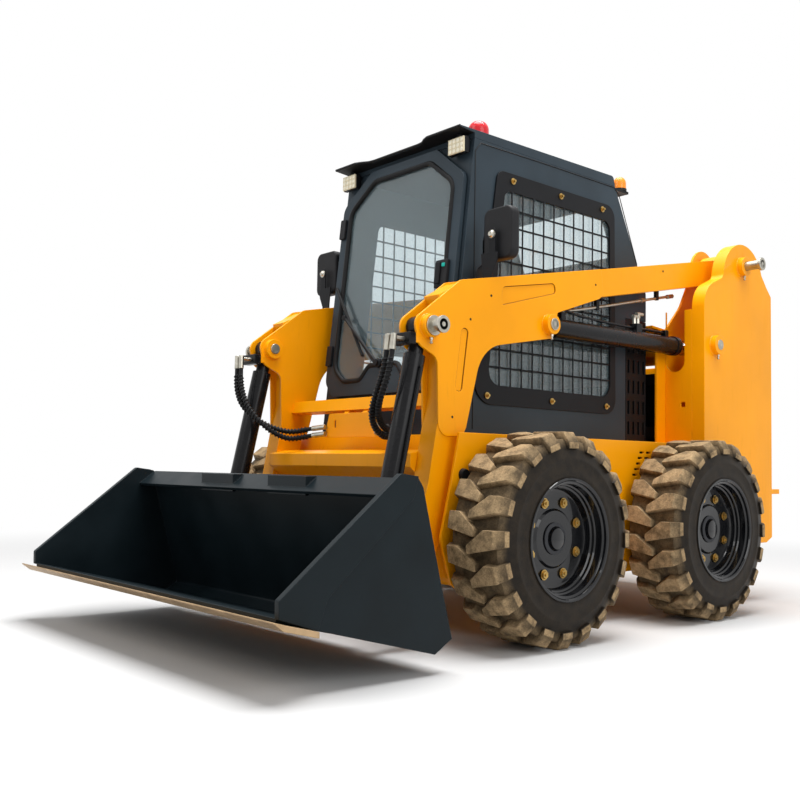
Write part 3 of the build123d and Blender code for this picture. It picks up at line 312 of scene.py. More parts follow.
def material(name):
    """The finished material of that name, made on first use."""
    if name not in MATERIALS:
        made = bpy.data.materials.new(name)
        made.use_nodes = True
        tree = made.node_tree
        tree.nodes.clear()
        maker, *values = MAKERS[name]
        add(tree, "ShaderNodeOutputMaterial", {"Surface": maker(tree, *values).outputs[0]})
        MATERIALS[name] = made
    return MATERIALS[name]


FINISH_OF_SLOT = {
    "machine_yellow": "sprayed_enamel", "cab_slate": "powder_coat", "frame_black": "black_paint",
    "bucket_blue_black": "bucket_paint", "worn_steel": "worn_steel", "zinc_steel": "zinc_plate",
    "cylinder_black": "cylinder_paint", "rod_chrome": "hard_chrome", "cast_grey": "cast_iron",
    "tyre_rubber": "tyre_rubber", "rim_black": "rim_enamel", "window_glass": "cab_glass",
    "black_rubber": "black_rubber", "moulded_black": "moulded_abs", "seat_vinyl": "seat_vinyl",
    "lamp_lens": "work_lens", "beacon_red": "red_lens", "lamp_orange": "orange_lens",
}


# ------------------------------------------------------------------ mesh helpers
FLAT_ANGLE = 0.8                # degrees between faces that count as one flat
FINE_REACH = 2e-5               # vertices this close are one corner
EASED_REACH = 4e-4              # the same on a node whose edges are rounded
EASED_ANGLE = 35                # degrees: sharper edges of a node are rounded


def merged(node, reach):
    """Copy of a node's loose triangles, joined within reach, each of its flats made whole."""
    work = bmesh.new()
    work.from_mesh(frame["nodes"][node].data)
    bmesh.ops.remove_doubles(work, verts=work.verts, dist=reach)
    bmesh.ops.dissolve_limit(work, angle_limit=math.radians(FLAT_ANGLE), verts=work.verts, edges=work.edges)
    return work


def mesh_of(name, work):
    """Mesh from a bmesh, which is freed."""
    mesh = bpy.data.meshes.new(name)
    work.to_mesh(mesh)
    work.free()
    return mesh


def linked(name, data):
    piece = bpy.data.objects.new(name, data)
    bpy.context.scene.collection.objects.link(piece)
    return piece


def new_piece(name, mesh, finish, body):
    """Object at the origin with its material, riding on a body."""
    piece = linked(name, mesh)
    mesh.materials.clear()
    mesh.materials.append(material(finish))
    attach(piece, body)
    return piece


def creased(piece, angle):
    """Smooth shading, with edges sharper than the angle, in degrees, left hard."""
    piece.data.shade_smooth()
    piece.data.set_sharp_from_angle(angle=math.radians(angle))


def flattened(piece):
    """Turns the piece's modifiers into its own mesh."""
    bpy.context.view_layer.update()
    evaluated = piece.evaluated_get(bpy.context.evaluated_depsgraph_get())
    mesh = bpy.data.meshes.new_from_object(evaluated)
    piece.modifiers.clear()
    piece.data = mesh
    return piece


def rounded(piece, width, angle):
    """Rounds the edges sharper than the angle, in degrees, and keeps the flats flat."""
    piece.data.shade_smooth()
    bevel = piece.modifiers.new("ease", "BEVEL")
    bevel.width = width
    bevel.segments = 2
    bevel.limit_method = "ANGLE"
    bevel.angle_limit = math.radians(angle)
    bevel.use_clamp_overlap = False
    piece.modifiers.new("flats", "WEIGHTED_NORMAL").weight = 80
    return flattened(piece)


def eased(node, width, finish=None):
    """Copy of a node with its edges rounded, standing for it."""
    slot = SLOT_OF[node]
    mesh = mesh_of(node + "_eased", merged(node, EASED_REACH))
    piece = new_piece(node + "_eased", mesh, finish or FINISH_OF_SLOT[slot], BODY_OF[node])
    rounded(piece, width, EASED_ANGLE)
    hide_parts(node)
    return piece


# ------------------------------------------------------------------ places
def joint_place(name):
    return next(row for row in frame["record"]["behaviour"]["joints"] if row["name"] == name)["pos_m"]


WHEEL_X, FRONT_Y, AXLE_Z = joint_place("wheel_front_left_spin")
REAR_Y = joint_place("wheel_rear_left_spin")[1]
LEAN = 0.111                    # rise over run of the cab's sloping front


def at(x, station, height):
    """Point at a station behind the front axle."""
    return Vector((x, FRONT_Y + station, height))


def on_front(x, height, out):
    """Point on the cab's sloping front, moved outwards."""
    lean = math.atan(LEAN)
    base = at(x, -0.165 + (height - 0.765) * LEAN, height)
    return base + Vector((0, -math.cos(lean), math.sin(lean))) * out


def mirrored(point, side):
    return Vector((point[0] * side, point[1], point[2]))


def sided(side, x, station, height):
    """Point at a station on the left, side 1, or the right, side -1."""
    return mirrored(at(x, station, height), side)


# ------------------------------------------------------------------ shapes
def ring_frame(direction):
    """Two unit vectors square to a direction."""
    direction = Vector(direction).normalized()
    helper = Vector((0, 0, 1)) if abs(direction.z) < 0.9 else Vector((0, 1, 0))
    first = direction.cross(helper).normalized()
    return first, direction.cross(first).normalized()


def add_turned(work, origin, axis, rows, sides=32):
    """Turned solid: rows of (distance along the axis, radius), closed at both ends."""
    origin, axis = Vector(origin), Vector(axis).normalized()
    first, second = ring_frame(axis)
    rings = []
    for offset, radius in rows:
        middle = origin + axis * offset
        if radius <= 0:
            rings.append([work.verts.new(middle)])
            continue
        turns = [2 * math.pi * index / sides for index in range(sides)]
        rings.append([work.verts.new(middle + (first * math.cos(turn) + second * math.sin(turn)) * radius)
                      for turn in turns])
    for ring, following in zip(rings, rings[1:]):
        for index in range(sides):
            corners = [ring[index - 1] if len(ring) > 1 else ring[0],
                       ring[index] if len(ring) > 1 else None,
                       following[index] if len(following) > 1 else following[0],
                       following[index - 1] if len(following) > 1 else None]
            work.faces.new([corner for corner in corners if corner])
    for ring in (rings[0], rings[-1]):
        if len(ring) > 1:
            work.faces.new(ring)


def add_rod(work, start, end, radius, sides=20, end_radius=None):
    """Round bar from start to end, tapered if end_radius is given."""
    start, end = Vector(start), Vector(end)
    last = radius if end_radius is None else end_radius
    add_turned(work, start, end - start, [(0, radius), ((end - start).length, last)], sides)


def add_prism(work, outline, depth):
    """Flat outline of points, pushed through by the vector depth."""
    low = [work.verts.new(point) for point in outline]
    high = [work.verts.new(Vector(point) + Vector(depth)) for point in outline]
    work.faces.new(low)
    work.faces.new(high)
    for index in range(len(outline)):
        work.faces.new([low[index - 1], low[index], high[index], high[index - 1]])


def add_block(work, low, high):
    """Block between its lowest and highest corners."""
    low, high = Vector(low), Vector(high)
    outline = [(low.x, low.y, low.z), (high.x, low.y, low.z), (high.x, high.y, low.z), (low.x, high.y, low.z)]
    add_prism(work, outline, (0, 0, high.z - low.z))


def box_at(work, side, low, high):
    """Block between two corners given as (x, station, height), on either side."""
    first, second = sided(side, *low), sided(side, *high)
    add_block(work, (min(first.x, second.x), first.y, first.z), (max(first.x, second.x), second.y, second.z))


def add_sweep(work, points, radius, sides=8, closed=False):
    """Round bar along points, its section carried along without twist."""
    points = [Vector(point) for point in points]
    count = len(points)
    heads = []
    for index in range(count):
        after = points[(index + 1) % count] if closed or index < count - 1 else points[index]
        before = points[index - 1] if closed or index > 0 else points[index]
        heads.append((after - before).normalized())
    first, _ = ring_frame(heads[0])
    rings = []
    for point, head in zip(points, heads):
        first = (first - head * first.dot(head)).normalized()
        second = head.cross(first)
        turns = [2 * math.pi * step / sides for step in range(sides)]
        rings.append([work.verts.new(point + (first * math.cos(turn) + second * math.sin(turn)) * radius)
                      for turn in turns])
    pairs = list(zip(rings, rings[1:]))
    if closed:
        pairs.append((rings[-1], rings[0]))
    for ring, following in pairs:
        for index in range(sides):
            work.faces.new([ring[index - 1], ring[index], following[index], following[index - 1]])
    if not closed:
        work.faces.new(rings[0])
        work.faces.new(rings[-1])


def finished(name, work, finish, body, slot, ease=None, sharp=38):
    """Object made from a bmesh, its faces turned outwards, its edges eased if ease is given and otherwise
    left hard.
    """
    bmesh.ops.recalc_face_normals(work, faces=work.faces)
    piece = new_piece(name, mesh_of(name, work), finish, body)
    if ease:
        return rounded(piece, ease, 30)
    creased(piece, sharp)
    return piece


def turned_piece(name, origin, axis, rows, finish, body, slot, sides=24, **looks):
    work = bmesh.new()
    add_turned(work, origin, axis, rows, sides)
    return finished(name, work, finish, body, slot, **looks)


def swept_piece(name, points, radius, finish, body, slot, sides=6, closed=False):
    work = bmesh.new()
    add_sweep(work, points, radius, sides, closed)
    return finished(name, work, finish, body, slot, sharp=60)


def boxed_piece(name, side, boxes, finish, body, slot, ease=0.001):
    """Piece of blocks, each between two corners given as (x, station, height)."""
    work = bmesh.new()
    for low, high in boxes:
        box_at(work, side, low, high)
    return finished(name, work, finish, body, slot, ease=ease)


# ------------------------------------------------------------------ fasteners by nodes
def fastener_tree():
    """Six-sided heads with a washer on every point of a mesh, along X."""
    tree = bpy.data.node_groups.new("fasteners", "GeometryNodeTree")
    face = tree.interface
    face.new_socket("Points", in_out="INPUT", socket_type="NodeSocketGeometry")
    for name, value in (("Head radius", 0.011), ("Head height", 0.009), ("Washer radius", 0.016)):
        made = face.new_socket(name, in_out="INPUT", socket_type="NodeSocketFloat")
        made.default_value = value
    face.new_socket("Finish", in_out="INPUT", socket_type="NodeSocketMaterial")
    face.new_socket("Heads", in_out="OUTPUT", socket_type="NodeSocketGeometry")
    inputs = add(tree, "NodeGroupInput").outputs
    head = add(tree, "GeometryNodeMeshCylinder",
               {"Vertices": 6, "Radius": inputs["Head radius"], "Depth": inputs["Head height"]})
    washer = add(tree, "GeometryNodeMeshCylinder",
                 {"Vertices": 24, "Radius": inputs["Washer radius"], "Depth": 0.003})
    stud = add(tree, "GeometryNodeMeshCylinder", {"Vertices": 16, "Radius": 0.005, "Depth": 0.026})
    joined = add(tree, "GeometryNodeJoinGeometry")
    for made in (head, washer, stud):
        tree.links.new(made.outputs["Mesh"], joined.inputs["Geometry"])
    turned = add(tree, "GeometryNodeTransform",
                 {"Geometry": joined.outputs[0], "Rotation": (0.0, math.pi / 2, 0.0)})
    placed = add(tree, "GeometryNodeInstanceOnPoints",
                 {"Points": inputs["Points"], "Instance": turned.outputs[0]})
    real = add(tree, "GeometryNodeRealizeInstances", {"Geometry": placed.outputs[0]})
    coloured = add(tree, "GeometryNodeSetMaterial",
                   {"Geometry": real.outputs[0], "Material": inputs["Finish"]})
    add(tree, "NodeGroupOutput", {"Heads": coloured.outputs[0]})
    return tree


def fasteners(name, points, finish, body, slot, **inputs):
    """Plain mesh of fasteners on the points, from the node tree."""
    tree = bpy.data.node_groups.get("fasteners") or fastener_tree()
    seeds = bpy.data.meshes.new(name)
    seeds.from_pydata([tuple(point) for point in points], [], [])
    piece = linked(name, seeds)
    nodes = piece.modifiers.new("fasteners", "NODES")
    nodes.node_group = tree
    values = {key.replace("_", " ").capitalize(): value for key, value in inputs.items()}
    values["Finish"] = material(finish)
    for socket in tree.interface.items_tree:
        if socket.in_out == "INPUT" and socket.name in values:
            nodes[socket.identifier] = values[socket.name]
    flattened(piece)
    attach(piece, body)
    return piece


# ------------------------------------------------------------------ wheels
TYRE_PROFILE = (
    # outwards from the tyre's middle, radius: half of the carcass, bead to tread
    (0.1050, 0.2086), (0.1200, 0.2130), (0.1290, 0.2240), (0.1305, 0.2360), (0.1292, 0.2440),
    (0.1286, 0.2800), (0.1300, 0.2850), (0.1300, 0.2905), (0.1284, 0.2950), (0.1215, 0.3230),
    (0.1120, 0.3500), (0.1040, 0.3590),
)
RIM_PROFILE = (
    # outwards from the rim's middle, radius: from the back of the hub to its face
    (-0.0255, 0.0), (-0.0255, 0.0920), (0.0360, 0.0920), (0.0360, 0.1780), (-0.0430, 0.1780),
    (-0.0600, 0.1975), (-0.1335, 0.1975), (-0.1335, 0.2185), (-0.1290, 0.2190), (-0.1284, 0.2078),
    (0.1284, 0.2078), (0.1290, 0.2190), (0.1315, 0.2204), (0.1338, 0.2185), (0.1330, 0.2120),
    (0.1290, 0.2085), (0.1200, 0.2070), (0.1170, 0.2020), (0.1160, 0.1990), (0.0900, 0.1975),
    (0.0860, 0.1920), (0.0760, 0.1910), (0.0720, 0.1850), (0.0600, 0.1830), (0.0500, 0.1780),
    (0.0480, 0.1700), (0.0480, 0.1080), (0.0550, 0.1000), (0.0550, 0.0860), (0.0530, 0.0440),
    (0.0620, 0.0420), (0.0720, 0.0380), (0.0740, 0.0330), (0.0740, 0.0),
)
HUB_SEAL = ((0, 0.058), (0.004, 0.058), (0.007, 0.052), (0.007, 0.0445), (0.0, 0.0435))
LUG_FOOT = 0.3625               # radius where the lugs leave the tread
LUG_EASE = 0.004
WALL_OUT = 0.1300               # how far the sidewalls stand out
BOLT_RING = 0.1375
BOLTS = 8


def make_tyre(axle, side_name, side, y):
    """Bevelled lugs round a smooth carcass, with the dust that has settled on each vertex."""
    node = f"tyre_{axle}_{side_name}"
    middle = Vector((WHEEL_X * side, y, AXLE_Z))
    lugs = linked(node + "_lugs", mesh_of(node + "_lugs", merged(node, FINE_REACH)))
    rounded(lugs, LUG_EASE, 30)
    work = bmesh.new()
    work.from_mesh(lugs.data)
    bpy.data.objects.remove(lugs)
    rows = [(-out, radius) for out, radius in TYRE_PROFILE] + [*reversed(TYRE_PROFILE)]
    shell = bmesh.new()
    add_turned(shell, middle, (side, 0, 0), rows, sides=96)
    bmesh.ops.delete(shell, geom=[face for face in shell.faces if len(face.verts) > 4], context="FACES_ONLY")
    bmesh.ops.recalc_face_normals(shell, faces=shell.faces)
    work.from_mesh(mesh_of(node + "_carcass", shell))
    dust = work.verts.layers.float.new("dust")
    for vertex in work.verts:
        reach = math.hypot(vertex.co.y - middle.y, vertex.co.z - middle.z)
        on_lug = reach > LUG_FOOT or (abs(vertex.co.x - middle.x) > WALL_OUT and reach > 0.30)
        # full on the lugs, some between them, little on the walls
        vertex[dust] = 1.0 if on_lug else (0.35 if reach > 0.34 else 0.04)
    body, slot = f"wheel_{axle}_{side_name}", "tyre_rubber"
    piece = new_piece(node + "_worn", mesh_of(node + "_worn", work), "tyre_rubber", body)
    creased(piece, 32)
    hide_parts(node)


def make_rim(axle, side_name, side, y):
    """Pressed rim with its nuts and the seal round its hub."""
    body, node = f"wheel_{axle}_{side_name}", f"rim_{axle}_{side_name}"
    middle = Vector((WHEEL_X * side, y, AXLE_Z))
    piece = turned_piece(node + "_pressed", middle, (side, 0, 0), RIM_PROFILE, "rim_enamel", body,
                         "rim_black", sides=96, sharp=25)
    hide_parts(node)
    face = middle.x + side * 0.0520
    turns = [2 * math.pi * (index + 0.5) / BOLTS for index in range(BOLTS)]
    ring = [(face, middle.y + BOLT_RING * math.cos(turn), middle.z + BOLT_RING * math.sin(turn))
            for turn in turns]
    fasteners(f"wheel_nuts_{axle}_{side_name}", ring, "yellow_zinc", body, "zinc_steel",
              head_radius=0.0145, head_height=0.017, washer_radius=0.019)
    turned_piece(f"hub_seal_{axle}_{side_name}", middle + Vector((side * 0.0545, 0, 0)), (side, 0, 0),
                 HUB_SEAL, "cast_iron", body, "rim_black", sides=64)


class LOADER_OT_wheels(bpy.types.Operator):
    """Tyres with dusty lugs, pressed rims and their nuts"""
    bl_idname = "loader.wheels"
    bl_label = "Wheels"

    def execute(self, context):
        for axle, y in (("front", FRONT_Y), ("rear", REAR_Y)):
            for side_name, side in SIDES:
                make_tyre(axle, side_name, side, y)
                make_rim(axle, side_name, side, y)
        return {"FINISHED"}


# ------------------------------------------------------------------ hoses
PORT_HEIGHT = 1.088
ELBOW_REACH = 0.042             # from a port's axis to the hose's end
HOSE_DIAMETER = 0.018
GUARD_PITCH = 0.015
GUARD_RADIUS = 0.0036
HOSE_ROUTES = {
    # left side, (x, station, height): elbow, then the corners that the hose follows
    "a": ((0.4795, -0.541, PORT_HEIGHT), (0.474, -0.545, 1.005), (0.457, -0.549, 0.950),
          (0.420, -0.545, 0.885), (0.372, -0.522, 0.826), (0.339, -0.478, 0.779), (0.321, -0.427, 0.753),
          (0.308, -0.393, 0.748), (0.288, -0.367, 0.753), (0.261, -0.348, 0.760), (0.230, -0.340, 0.763)),
    "b": ((0.5105, -0.541, PORT_HEIGHT), (0.505, -0.546, 1.003), (0.489, -0.551, 0.945),
          (0.455, -0.548, 0.888), (0.408, -0.522, 0.838), (0.368, -0.477, 0.802), (0.335, -0.428, 0.782),
          (0.312, -0.393, 0.777), (0.288, -0.366, 0.782), (0.261, -0.348, 0.789), (0.230, -0.340, 0.792)),
}


def hose_points(route, side):
    """Corners of a hose, the first one moved from the port to the elbow's end."""
    points = [sided(side, *row) for row in route]
    points[0] = points[0] + (points[1] - points[0]).normalized() * ELBOW_REACH
    return points


def smooth_curve(name, points):
    """Smooth open line with the points as its control points."""
    curve = bpy.data.curves.new(name, "CURVE")
    curve.dimensions = "3D"
    curve.resolution_u = 12
    curve.render_resolution_u = 12
    spline = curve.splines.new("NURBS")
    spline.points.add(len(points) - 1)
    for control, point in zip(spline.points, points):
        control.co = (*point, 1.0)
    spline.order_u = 3
    spline.use_endpoint_u = True
    return curve


def line_of(curve):
    """Points and running length along a curve's own line."""
    probe = linked("probe", curve.copy())
    bpy.context.view_layer.update()
    mesh = bpy.data.meshes.new_from_object(probe.evaluated_get(bpy.context.evaluated_depsgraph_get()))
    points = [vertex.co.copy() for vertex in mesh.vertices]
    bpy.data.objects.remove(probe)
    bpy.data.meshes.remove(mesh)
    runs = [(second - first).length for first, second in zip(points, points[1:])]
    return points, sum(runs)


def spiral_guard(name, points, length, body):
    """Plastic spiral wound on a hose, clear of both its ends."""
    clear, wind = 0.030, HOSE_DIAMETER / 2 + 0.0004
    steps = int((length - 2 * clear) / GUARD_PITCH * 16)
    heads = [second - first for first, second in zip(points, points[1:])]
    marks = [0.0]
    for head in heads:
        marks.append(marks[-1] + head.length)
    first, _ = ring_frame(heads[0])
    path, span = [], 0
    for step in range(steps + 1):
        reach = clear + (length - 2 * clear) * step / steps
        while span < len(heads) - 1 and marks[span + 1] < reach:
            span += 1
        head = heads[span].normalized()
        first = (first - head * first.dot(head)).normalized()
        middle = points[span] + head * (reach - marks[span])
        turn = 2 * math.pi * (reach - clear) / GUARD_PITCH
        path.append(middle + (first * math.cos(turn) + head.cross(first) * math.sin(turn)) * wind)
    return swept_piece(name, path, GUARD_RADIUS, "hose_rubber", body, "black_rubber", sides=8)


class LOADER_OT_hoses(bpy.types.Operator):
    """Tilt hoses with their spiral guards"""
    bl_idname = "loader.hoses"
    bl_label = "Hoses"

    def execute(self, context):
        for side_name, side in SIDES:
            for run, route in HOSE_ROUTES.items():
                node = f"tilt_hose_{side_name}_{run}"
                points = hose_points(route, side)
                curve = smooth_curve(node + "_line", points)
                line, length = line_of(curve)
                curve.bevel_depth = HOSE_DIAMETER / 2
                curve.bevel_resolution = 5
                curve.use_fill_caps = True
                curve.materials.append(material("hose_rubber"))
                piece = linked(node + "_line", curve)
                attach(piece, "boom")
                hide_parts(node)
                guard = spiral_guard(node + "_guard", line, length, "boom")
        return {"FINISHED"}


# ------------------------------------------------------------------ seat
def pad(name, corners, half_width, channels):
    """Stuffed pad over four side-view corners: foot front, top front, top rear, foot rear."""
    work = bmesh.new()
    bmesh.ops.create_cube(work, size=2.0)
    bmesh.ops.subdivide_edges(work, edges=work.edges[:], cuts=31, use_grid_fill=True)
    crown, roundness = 0.014, 7.0
    groove_width, groove_depth = 0.03, 0.008
    foot_front, top_front, top_rear, foot_rear = [Vector((0, *corner)) for corner in corners]
    for vertex in work.verts:
        unit = vertex.co.copy()
        size = sum(abs(value) ** roundness for value in unit) ** (1 / roundness)
        unit /= size
        waist = 1 - 0.035 * (1 - unit.z ** 2) * (1 - unit.y ** 2)
        along, up = (unit.y + 1) / 2, (unit.z + 1) / 2
        foot = foot_front.lerp(foot_rear, along)
        top = top_front.lerp(top_rear, along)
        place = foot.lerp(top, up)
        place.x = unit.x * (half_width - 0.004) * waist
        if unit.z > 0:
            swell = crown * (1 - unit.x ** 2) * (1 - unit.y ** 2)
            groove = max(math.exp(-((unit.x - line) / groove_width) ** 2) for line in channels)
            sunk = crown + groove_depth * groove * (1 - unit.y ** 4)
            place += (top - foot).normalized() * unit.z * (swell - sunk)
        vertex.co = at(*place)
    piece = finished(name, work, "seat_vinyl", "machine", "seat_vinyl", sharp=180)
    return piece


class LOADER_OT_seat(bpy.types.Operator):
    """Seat cushion and backrest with sewn channels"""
    bl_idname = "loader.seat"
    bl_label = "Seat"

    def execute(self, context):
        low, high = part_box("seat")
        front, pan = low.y - FRONT_Y, low.z
        base = pad("seat_cushion", ((front, pan), (front, pan + 0.128), (front + 0.450, pan + 0.108),
                                    (front + 0.450, pan)), 0.245, (-0.45, 0.45))
        back = pad("seat_backrest", ((front + 0.552, pan + 0.038), (front + 0.425, pan + 0.070),
                                     (front + 0.490, pan + 0.575), (front + 0.560, pan + 0.575)),
                   0.235, (-0.45, 0.45))
        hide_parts("seat")
        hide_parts("seat")
        return {"FINISHED"}


# ------------------------------------------------------------------ cab
CAB_PANELS = ("cab_sides", "cab_roof", "cab_front", "cab_rear", "door_frame", "door_fittings", "vent_panels")
# (station, height) of each bolt, and along the seam round a side panel
GUARD_BOLTS = ((0.185, 1.818), (0.495, 1.819), (0.790, 1.820), (0.042, 0.925), (0.443, 0.925), (0.826, 0.924))
SIDE_SEAM = ((-0.030, 0.790), (-0.030, 1.900), (0.000, 1.936), (0.394, 1.942), (0.890, 1.944), (0.930, 1.915),
             (1.074, 1.611))


def outline_of(node, direction):
    """Points round the largest flat face of a node that looks along a direction."""
    work = merged(node, FINE_REACH)
    facing = [face for face in work.faces if face.normal.dot(Vector(direction)) > 0.9]
    largest = max(facing, key=lambda face: face.calc_area())
    points = [vertex.co.copy() for vertex in largest.verts]
    work.free()
    return points


def make_cab_panels():
    for node in CAB_PANELS:
        eased(node, sizes().ease)
    eased("window_guards", 0.0012, "black_paint")
    guard, wall = [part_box(node)[1].x for node in ("window_guards", "cab_sides")]
    for side_name, side in SIDES:
        points = [sided(side, guard + 0.003, *spot) for spot in GUARD_BOLTS]
        fasteners(f"guard_bolts_{side_name}", points, "yellow_zinc", "machine", "zinc_steel",
                  head_radius=0.0085, head_height=0.010, washer_radius=0.0135)
        seam = [sided(side, wall + 0.0004, *spot) for spot in SIDE_SEAM]
        swept_piece(f"side_seam_{side_name}", seam, 0.0022, "black_rubber", "machine", "black_rubber")


LATCH_PARTS = (
    # name, finish, slot, (left, right, foot, top), distances out of the cab's front, ease
    ("latch_housing", "moulded_abs", "moulded_black", (0.287, 0.352, 1.340, 1.453), (0.020, 0.044), 0.005),
    ("latch_paddle", "black_paint", "moulded_black", (0.296, 0.322, 1.352, 1.441), (0.043, 0.054), 0.004),
    ("latch_button", "teal_cap", "moulded_black", (0.328, 0.344, 1.420, 1.436), (0.043, 0.050), 0.003),
)


def make_door_trim():
    """Rubber seal round the door's glass, wiper and latch."""
    lean = math.atan(LEAN)
    out = Vector((0, -math.cos(lean), math.sin(lean)))
    rim = [point + out * 0.004 for point in outline_of("door_glass", out)]
    swept_piece("door_seal", rim, 0.0115, "black_rubber", "cab_door", "black_rubber", sides=10, closed=True)
    work = bmesh.new()
    base = on_front(-0.019, 1.065, 0.024)
    add_turned(work, base, out, [(0, 0.020), (0.014, 0.020), (0.019, 0.013), (0.027, 0.013)], sides=24)
    head = on_front(-0.263, 1.280, 0.050)
    add_rod(work, base + out * 0.020, head, 0.0075, sides=12, end_radius=0.0055)
    add_rod(work, on_front(-0.064, 1.074, 0.024), on_front(-0.241, 1.260, 0.046), 0.0035, sides=10)
    add_rod(work, head + out * 0.006, head - out * 0.012, 0.012, sides=16)
    finished("wiper_arm", work, "black_paint", "cab_door", "moulded_black")
    work = bmesh.new()
    top, foot = on_front(-0.352, 1.425, 0.042), on_front(-0.122, 1.102, 0.040)
    add_rod(work, top, foot, 0.0065, sides=10)
    add_rod(work, top - out * 0.007, foot - out * 0.007, 0.003, sides=8)
    finished("wiper_blade", work, "black_rubber", "cab_door", "black_rubber")
    for name, finish, slot, box, lift, ease in LATCH_PARTS:
        left, right, foot, top = box
        work = bmesh.new()
        corners = ((left, foot), (right, foot), (right, top), (left, top))
        add_prism(work, [on_front(x, height, lift[0]) for x, height in corners], out * (lift[1] - lift[0]))
        finished(name, work, finish, "cab_door", slot, ease=ease)


VISOR_EDGE = (
    # x, distance behind the visor's tip: hollowed over the door
    (-0.398, 0.0), (-0.262, 0.0), (-0.232, 0.012), (-0.202, 0.030), (-0.170, 0.035),
    (0.115, 0.035), (0.147, 0.030), (0.177, 0.012), (0.207, 0.0), (0.398, 0.0),
)


def make_visor_trim():
    """Black lining under the visor and a rubber lip along its wavy edge."""
    low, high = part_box("cab_roof")
    edge = [(x, low.y + back) for x, back in VISOR_EDGE]
    swept_piece("visor_lip", [(x, y + 0.001, high.z - 0.017) for x, y in edge], 0.0055, "black_rubber",
                "machine", "black_rubber", sides=10)
    rear = at(0, -0.036, 0).y
    outline = [(x, y + 0.003) for x, y in edge] + [(0.398, rear), (-0.398, rear)]
    work = bmesh.new()
    add_prism(work, [(x, y, high.z - 0.0255 + 0.006 * (rear - y) / (rear - low.y)) for x, y in outline],
              (0, 0, -0.002))
    finished("visor_lining", work, "black_rubber", "machine", "black_rubber", sharp=60)


MIRROR_BRACKET = (
    # x, height: plate before the mirror's head, from its knob down to the arm
    (0.479, 1.462), (0.520, 1.462), (0.520, 1.546), (0.530, 1.554), (0.546, 1.554), (0.553, 1.546),
    (0.553, 1.460), (0.568, 1.457), (0.560, 1.420), (0.539, 1.375), (0.539, 1.357), (0.489, 1.357),
    (0.489, 1.382),
)


def make_mirrors():
    """Mirror heads with their glass, on a plate held by a knob."""
    eased("mirrors", 0.010)
    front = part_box("mirrors")[0].y
    for side_name, side in SIDES:
        boxed_piece(f"mirror_glass_{side_name}", side, [((0.483, -0.007, 1.452), (0.607, -0.0055, 1.622))],
                    "mirror_silver", "boom", "moulded_black", ease=0.0006)
        turned_piece(f"mirror_knob_{side_name}", (side * 0.537, front - 0.0035, 1.530), (0, -1, 0),
                     [(0, 0.017), (0.006, 0.016), (0.009, 0.011), (0.014, 0.009)],
                     "zinc_plate", "boom", "zinc_steel")
        work = bmesh.new()
        add_prism(work, [(x * side, front + 0.0005, z) for x, z in MIRROR_BRACKET], (0, -0.005, 0))
        finished(f"mirror_bracket_{side_name}", work, "black_paint", "boom", "frame_black", ease=0.001)


class LOADER_OT_cab(bpy.types.Operator):
    """Cab panels, guards, door trim and mirrors"""
    bl_idname = "loader.cab"
    bl_label = "Cab"

    def execute(self, context):
        make_cab_panels()
        make_door_trim()
        make_visor_trim()
        make_mirrors()
        return {"FINISHED"}


# ------------------------------------------------------------------ lamps
BEACON_SHARE = 0.88             # of its node's height that the beacon's dome takes up


def dome(name, centre, foot, rows, finish, slot):
    return turned_piece(name, (centre[0], centre[1], foot), (0, 0, 1), rows, finish, "machine", slot,
                        sides=64, sharp=50)


def rounded_rows(radius, height, start):
    """Drum with a domed top, as rows of (height, radius)."""
    rows = [(start, radius), (start + (height - start) * 0.45, radius * 0.99)]
    for step in range(1, 13):
        turn = step / 12 * math.pi / 2
        rows.append((start + (height - start) * (0.45 + 0.55 * math.sin(turn)),
                     max(0.0, radius * 0.99 * math.cos(turn) ** 0.8)))
    rows[-1] = (height, 0.0)
    return rows


def make_domes():
    """Beacon on the roof and a lamp on a bracket at each rear corner."""
    low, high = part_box("beacon")
    centre = (low + high) / 2
    radius, height = (high.x - low.x) / 2, (high.z - low.z) * BEACON_SHARE
    foot = dome("beacon_foot", centre, low.z,
                [(0, 0), (0, radius), (0.012, radius), (0.016, radius * 0.9), (0.016, 0)],
                "moulded_abs", "moulded_black")
    glass = dome("beacon_dome", centre, low.z, [(0.015, 0), *rounded_rows(radius * 0.93, height, 0.015)],
                 "red_lens", "beacon_red")
    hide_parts("beacon")
    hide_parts("beacon")
    low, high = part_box("corner_lamps")
    for side_name, side in SIDES:
        centre = sided(side, 0.360, 0.990, 0)
        deck = low.z + 0.012
        plate = ((0.330, 0.902, low.z), (0.390, 1.020, deck))
        bracket = boxed_piece(f"corner_bracket_{side_name}", side, [plate], "black_paint", "machine",
                              "frame_black")
        foot = dome(f"corner_foot_{side_name}", centre, deck,
                    [(0, 0), (0, 0.033), (0.012, 0.033), (0.012, 0)], "moulded_abs", "moulded_black")
        glass = dome(f"corner_dome_{side_name}", centre, deck,
                     [(0.011, 0), *rounded_rows(0.031, high.z - deck, 0.011)], "orange_lens", "lamp_orange")
        for piece in (bracket, foot, glass):
            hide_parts("corner_lamps")


WORK_LIGHT_X = 0.343
WORK_LIGHT_HALF = 0.046
WORK_LIGHT_FOOT, WORK_LIGHT_TOP = 1.887, 1.953
EMITTER = ((0, 0.0088), (0.001, 0.0080), (0.0022, 0.0040), (0.0024, 0.0))
EMITTER_PITCH = (0.0215, 0.0200)            # across, up


